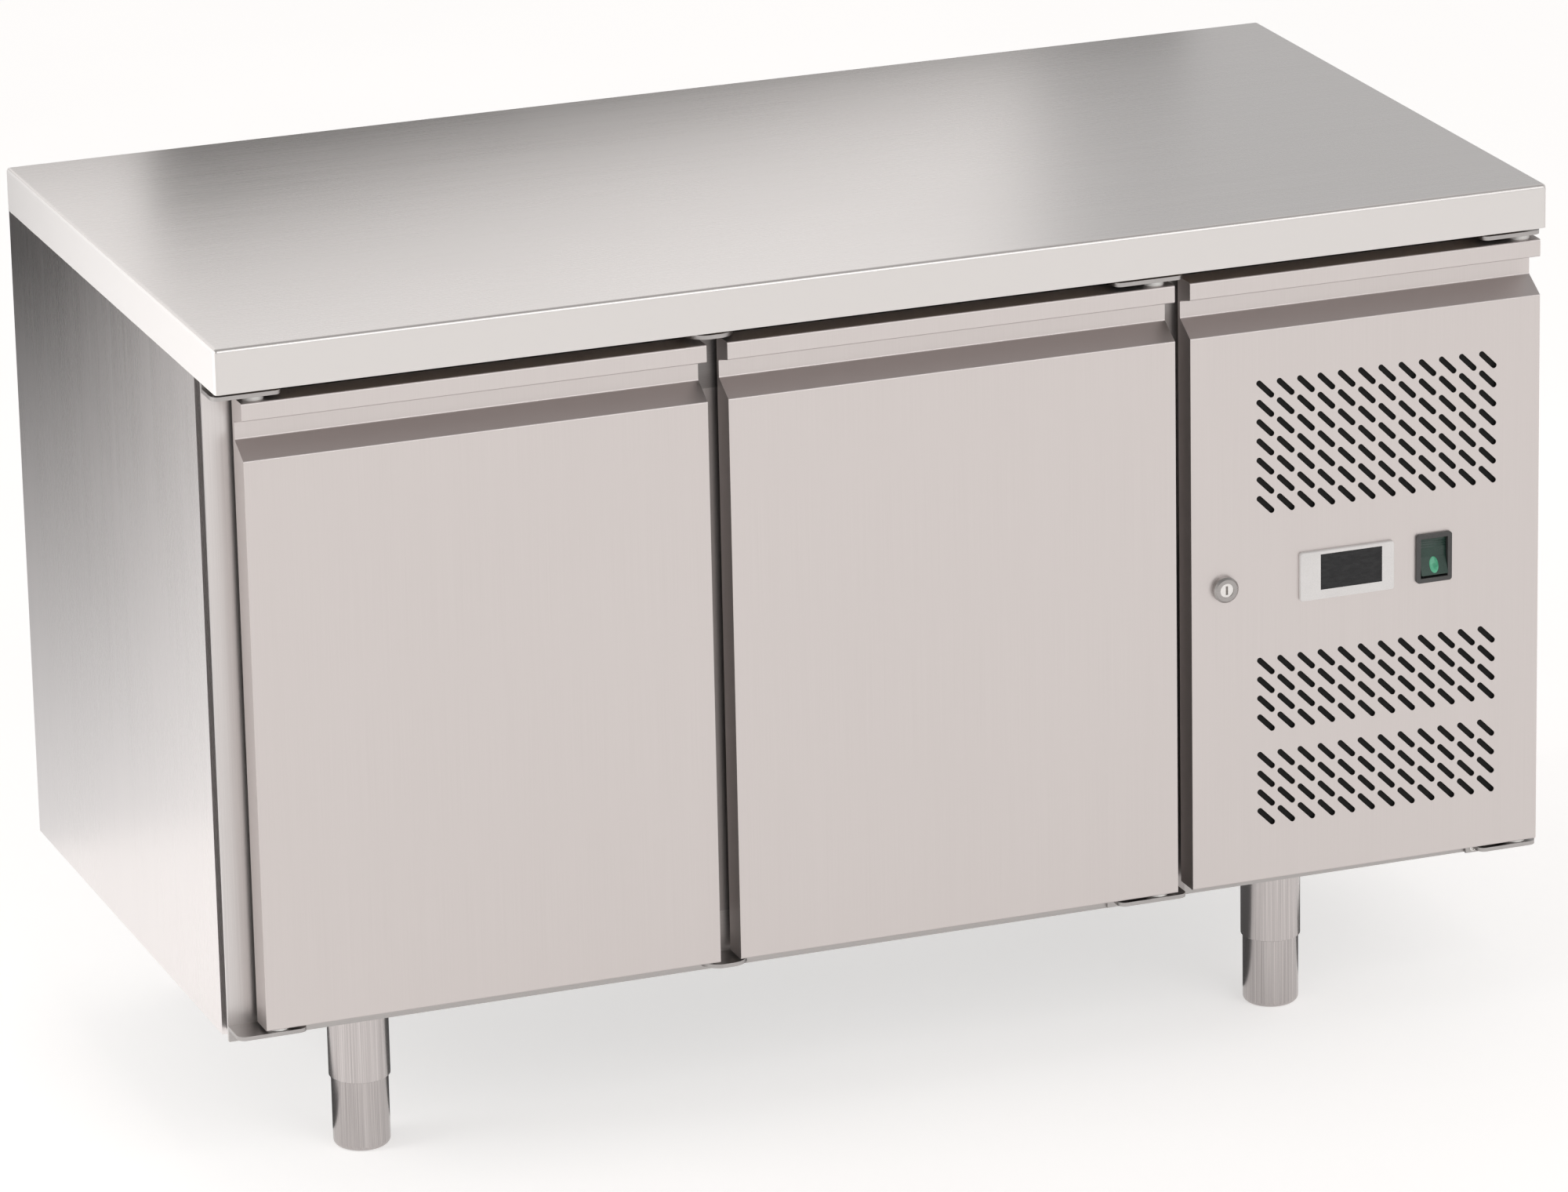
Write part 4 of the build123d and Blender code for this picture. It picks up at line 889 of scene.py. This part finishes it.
def copper(name):
    """Drawn copper tube: bright in places and dull brown where it has been handled."""
    material, tree, shader = new_material(name, metallic=1.0)
    tarnish = noise(tree, scale=45.0, detail=5.0)
    tree.links.new(tones(tree, tarnish, (0.36, 0.15, 0.08), (0.80, 0.42, 0.27)), shader.inputs["Base Color"])
    tree.links.new(between(tree, tarnish, 0.22, 0.45), shader.inputs["Roughness"])
    bump(tree, shader, tarnish, strength=0.1, distance=0.0001)
    return material


dress(copper("copper"), "refrigerant_pipes")


def rounded_plate(low, high, power):
    """A plate whose outline is a superellipse, closed above and below by drawing it to its middle.

    At angle t the outline is the cosine and the sine, each with its size raised to the power.
    """
    t = np.linspace(0.0, 2.0 * np.pi, 48, endpoint=False)
    circle = np.stack([np.cos(t), np.sin(t)], axis=-1)
    outline = np.sign(circle) * np.abs(circle) ** power
    centre = (low + high) / 2
    half = (high - low) / 2
    rows = [(0.0, -1.0), (0.97, -1.0), (1.0, -0.7), (1.0, 0.7), (0.97, 1.0), (0.0, 1.0)]
    points = np.zeros((len(rows), len(t), 3))
    for index, (reach, level) in enumerate(rows):
        points[index, :, :2] = centre[:2] + reach * half[:2] * outline
        points[index, :, 2] = centre[2] + level * half[2]
    return [(points, False, True)]


COMPRESSOR_CENTRE = np.array((0.500, 0.090, 0.268))
SHELL_RADIUS = 0.080
SHELL_HALF_HEIGHT = 0.095
FOOT_PLATE_LOW = np.array((-0.095, -0.070, -0.100))       # these four are from the shell's centre
FOOT_PLATE_HIGH = np.array((0.095, 0.070, -0.092))
TERMINAL_BOX_LOW = np.array((-0.112, -0.030, -0.033))
TERMINAL_BOX_HIGH = np.array((-0.070, 0.030, 0.032))


def compressor_grids(centre):
    """The shell with its weld flange, on the foot plate, and the terminal box at its side.

    The shell's profile is a quarter turn each way: the radius follows the cosine to a low power
    and the height the sine to nearly its first, which squares the circle off.
    """
    t = np.linspace(-np.pi / 2, np.pi / 2, 41)
    radius = SHELL_RADIUS * np.abs(np.cos(t)) ** 0.45
    height = SHELL_HALF_HEIGHT * np.sign(np.sin(t)) * np.abs(np.sin(t)) ** 0.9
    shell = np.stack([radius, height], axis=-1)
    shell[0, 0] = shell[-1, 0] = 0.0
    flange = np.array(
        [
            (0.070, 0.012), (0.0815, 0.012), (0.0825, 0.015),
            (0.0815, 0.018), (0.070, 0.018), (0.070, 0.012),
        ]
    )
    grids = [(lathe(profile) + centre, False, True) for profile in (shell, flange)]
    grids += rounded_plate(centre + FOOT_PLATE_LOW, centre + FOOT_PLATE_HIGH, power=0.35)
    grids += rounded_plate(centre + TERMINAL_BOX_LOW, centre + TERMINAL_BOX_HIGH, power=0.2)
    return grids


GROMMET_FOOT = 0.1535
GROMMET_HEAD = 0.1685
GROMMET_RADIUS = 0.011
GROMMET_WAIST = 0.008
GROMMET_X = 0.080
GROMMET_Y = 0.055


def grommet_grids(centre):
    """Waisted rubber feet under the plate's corners, as a profile turned about each."""
    profile = np.array(
        [
            (0.0, GROMMET_FOOT), (GROMMET_RADIUS, GROMMET_FOOT), (GROMMET_RADIUS, 0.159),
            (GROMMET_WAIST, 0.161), (GROMMET_WAIST, 0.164), (GROMMET_RADIUS, 0.1665),
            (GROMMET_RADIUS, GROMMET_HEAD), (0.0, GROMMET_HEAD),
        ]
    )
    grids = []
    for dx in (-GROMMET_X, GROMMET_X):
        for dy in (-GROMMET_Y, GROMMET_Y):
            axis = (centre[0] + dx, centre[1] + dy, 0.0)
            grids.append((lathe(profile, sides=20) + axis, False, True))
    return grids


make_piece(
    "compressor_shell", compressor_grids(COMPRESSOR_CENTRE), black_enamel, "cabinet",
    ["compressor"],
)
make_piece("compressor_grommets", grommet_grids(COMPRESSOR_CENTRE), gasket_rubber, "cabinet")

# Studio. A pale seamless floor and two large soft lights. Around the counter stand cards that only
# the steel reflects, and they give the sheet its shading.

STUDIO = bpy.context.scene.collection
FLOOR_SIZE = 60.0


def floor_plane(size):
    """A flat square floor at height zero."""
    mesh = bpy.data.meshes.new("floor")
    half = size / 2
    corners = [(-half, -half, 0), (half, -half, 0), (half, half, 0), (-half, half, 0)]
    mesh.from_pydata(corners, [], [(0, 1, 2, 3)])
    return bpy.data.objects.new("floor", mesh)


floor = floor_plane(FLOOR_SIZE)
STUDIO.objects.link(floor)
floor_paint, floor_tree, floor_shader = new_material("floor_paint", roughness=0.9)
floor_noise = noise(floor_tree, scale=1.2, detail=3.0)
floor_tone = tones(floor_tree, floor_noise, (0.62, 0.615, 0.61), (0.64, 0.635, 0.63))
floor_tree.links.new(floor_tone, floor_shader.inputs["Base Color"])
floor_shader.inputs["Emission Color"].default_value = (1.0, 0.985, 0.975, 1.0)
floor_shader.inputs["Emission Strength"].default_value = 0.53
floor.data.materials.append(floor_paint)


def reflected_card(name, corners, shades, fade):
    """A flat glowing card that only reflections see, in two shades that fade over a span of height."""
    mesh = bpy.data.meshes.new(name)
    mesh.from_pydata(corners, [], [(0, 1, 2, 3)])
    card = bpy.data.objects.new(name, mesh)
    STUDIO.objects.link(card)
    paint = bpy.data.materials.new(name)
    paint.use_nodes = True
    tree = paint.node_tree
    tree.nodes.clear()
    place = tree.nodes.new("ShaderNodeTexCoord")
    split = tree.nodes.new("ShaderNodeSeparateXYZ")
    glow = tree.nodes.new("ShaderNodeEmission")
    output = tree.nodes.new("ShaderNodeOutputMaterial")
    tree.links.new(place.outputs["Object"], split.inputs["Vector"])
    foot, head = [(shade, shade, shade) for shade in shades]
    tree.links.new(tones(tree, split.outputs["Z"], foot, head, span=fade), glow.inputs["Color"])
    tree.links.new(glow.outputs["Emission"], output.inputs["Surface"])
    mesh.materials.append(paint)
    card.visible_camera = False
    card.visible_diffuse = False
    card.visible_shadow = False
    card.visible_transmission = False


def upright_card(name, x_span, y, z_spans, shades, fade=(0.0, 1.0)):
    """A card facing the front, with its own lower and upper end at each side."""
    (left_foot, left_head), (right_foot, right_head) = z_spans
    corners = [
        (x_span[0], y, left_foot), (x_span[1], y, right_foot),
        (x_span[1], y, right_head), (x_span[0], y, left_head),
    ]
    reflected_card(name, corners, shades, fade)


upright_card(
    "back_card", x_span=(-0.33, 0.9), y=1.05, z_spans=((0.86, 1.17), (0.86, 1.05)), shades=(0.03, 0.03)
)
upright_card(
    "corner_card", x_span=(-0.62, -0.33), y=1.05, z_spans=((0.86, 1.04), (0.86, 1.04)), shades=(0.12, 0.12)
)
upright_card(
    "right_card", x_span=(0.98, 4.0), y=1.70, z_spans=((0.4, 2.6), (0.4, 2.6)), shades=(0.56, 0.56)
)
upright_card(
    "side_card", x_span=(-1.05, -0.70), y=0.70, z_spans=((0.0, 0.95), (0.0, 0.95)), shades=(0.82, 0.02),
    fade=(0.0, 0.66),
)
UNDER_LEVEL = 0.003
UNDER_HALF_LENGTH = 0.7
UNDER_HALF_DEPTH = 0.20
under_corners = [
    (sign_x * UNDER_HALF_LENGTH, sign_y * UNDER_HALF_DEPTH, UNDER_LEVEL)
    for sign_x, sign_y in ((-1, -1), (1, -1), (1, 1), (-1, 1))
]
reflected_card("under_card", under_corners, shades=(0.10, 0.10), fade=(0.0, 1.0))


def soft_light(name, place, target, size, power):
    """A square area light at one point, turned to face another."""
    data = bpy.data.lights.new(name, "AREA")
    data.shape = "SQUARE"
    data.size = size
    data.energy = power
    light = bpy.data.objects.new(name, data)
    direction = np.array(target) - np.array(place)
    back = -direction / np.linalg.norm(direction)
    side = np.cross((0.0, 0.0, 1.0), back)
    side /= np.linalg.norm(side)
    up = np.cross(back, side)
    turn = Matrix([[side[i], up[i], back[i], place[i]] for i in range(3)] + [(0.0, 0.0, 0.0, 1.0)])
    light.matrix_world = turn
    STUDIO.objects.link(light)


soft_light("front_light", place=(1.5, -5.0, 3.6), target=(0.0, 0.0, 0.4), size=3.5, power=60.0)
soft_light("left_light", place=(-4.5, -0.2, 2.2), target=(0.0, 0.0, 0.5), size=2.0, power=60.0)


def studio_world(name):
    """White to the camera. To everything else it is pale at the back, and greyer in front and overhead."""
    world = bpy.data.worlds.new(name)
    world.use_nodes = True
    tree = world.node_tree
    background = tree.nodes["Background"]
    place = tree.nodes.new("ShaderNodeTexCoord")
    split = tree.nodes.new("ShaderNodeSeparateXYZ")
    tree.links.new(place.outputs["Generated"], split.inputs["Vector"])
    level = between(tree, split.outputs["Z"], low=0.0, high=1.0, span=(0.35, 0.95))
    shade = tones(tree, level, (1.0, 0.985, 0.975), (0.46, 0.45, 0.445), span=(0.0, 1.0))
    seen = tree.nodes.new("ShaderNodeLightPath").outputs["Is Camera Ray"]
    white = (1.0, 1.0, 1.0, 1.0)
    tree.links.new(mixed_with(tree, "RGBA", shade, white, seen), background.inputs["Color"])
    depth = between(tree, split.outputs["Y"], low=0.74, high=1.1, span=(-0.6, 0.5))
    strength = tree.nodes.new("ShaderNodeMath")
    strength.operation = "MAXIMUM"
    tree.links.new(depth, strength.inputs[0])
    tree.links.new(seen, strength.inputs[1])
    tree.links.new(strength.outputs[0], background.inputs["Strength"])
    return world


bpy.context.scene.world = studio_world("studio")
bpy.context.scene.view_settings.view_transform = "Standard"

# Camera. A long lens from the front left, looking down on the worktop.

CAMERA_PLACE = (-2.8329, -7.6308, 3.0998)
CAMERA_YAW = math.radians(20.414)
CAMERA_PITCH = math.radians(-18.264)
CAMERA_ROLL = math.radians(-1.195)
CAMERA_LENS = 196.5

lens_data = bpy.data.cameras.new("camera")
lens_data.lens = CAMERA_LENS
lens_data.clip_end = 200.0
camera = bpy.data.objects.new("camera", lens_data)
heading = Matrix.Rotation(-CAMERA_YAW, 4, "Z")
tilt = Matrix.Rotation(math.pi / 2 + CAMERA_PITCH, 4, "X")
roll = Matrix.Rotation(CAMERA_ROLL, 4, "Z")
camera.matrix_world = Matrix.Translation(CAMERA_PLACE) @ heading @ tilt @ roll
STUDIO.objects.link(camera)
bpy.context.scene.camera = camera
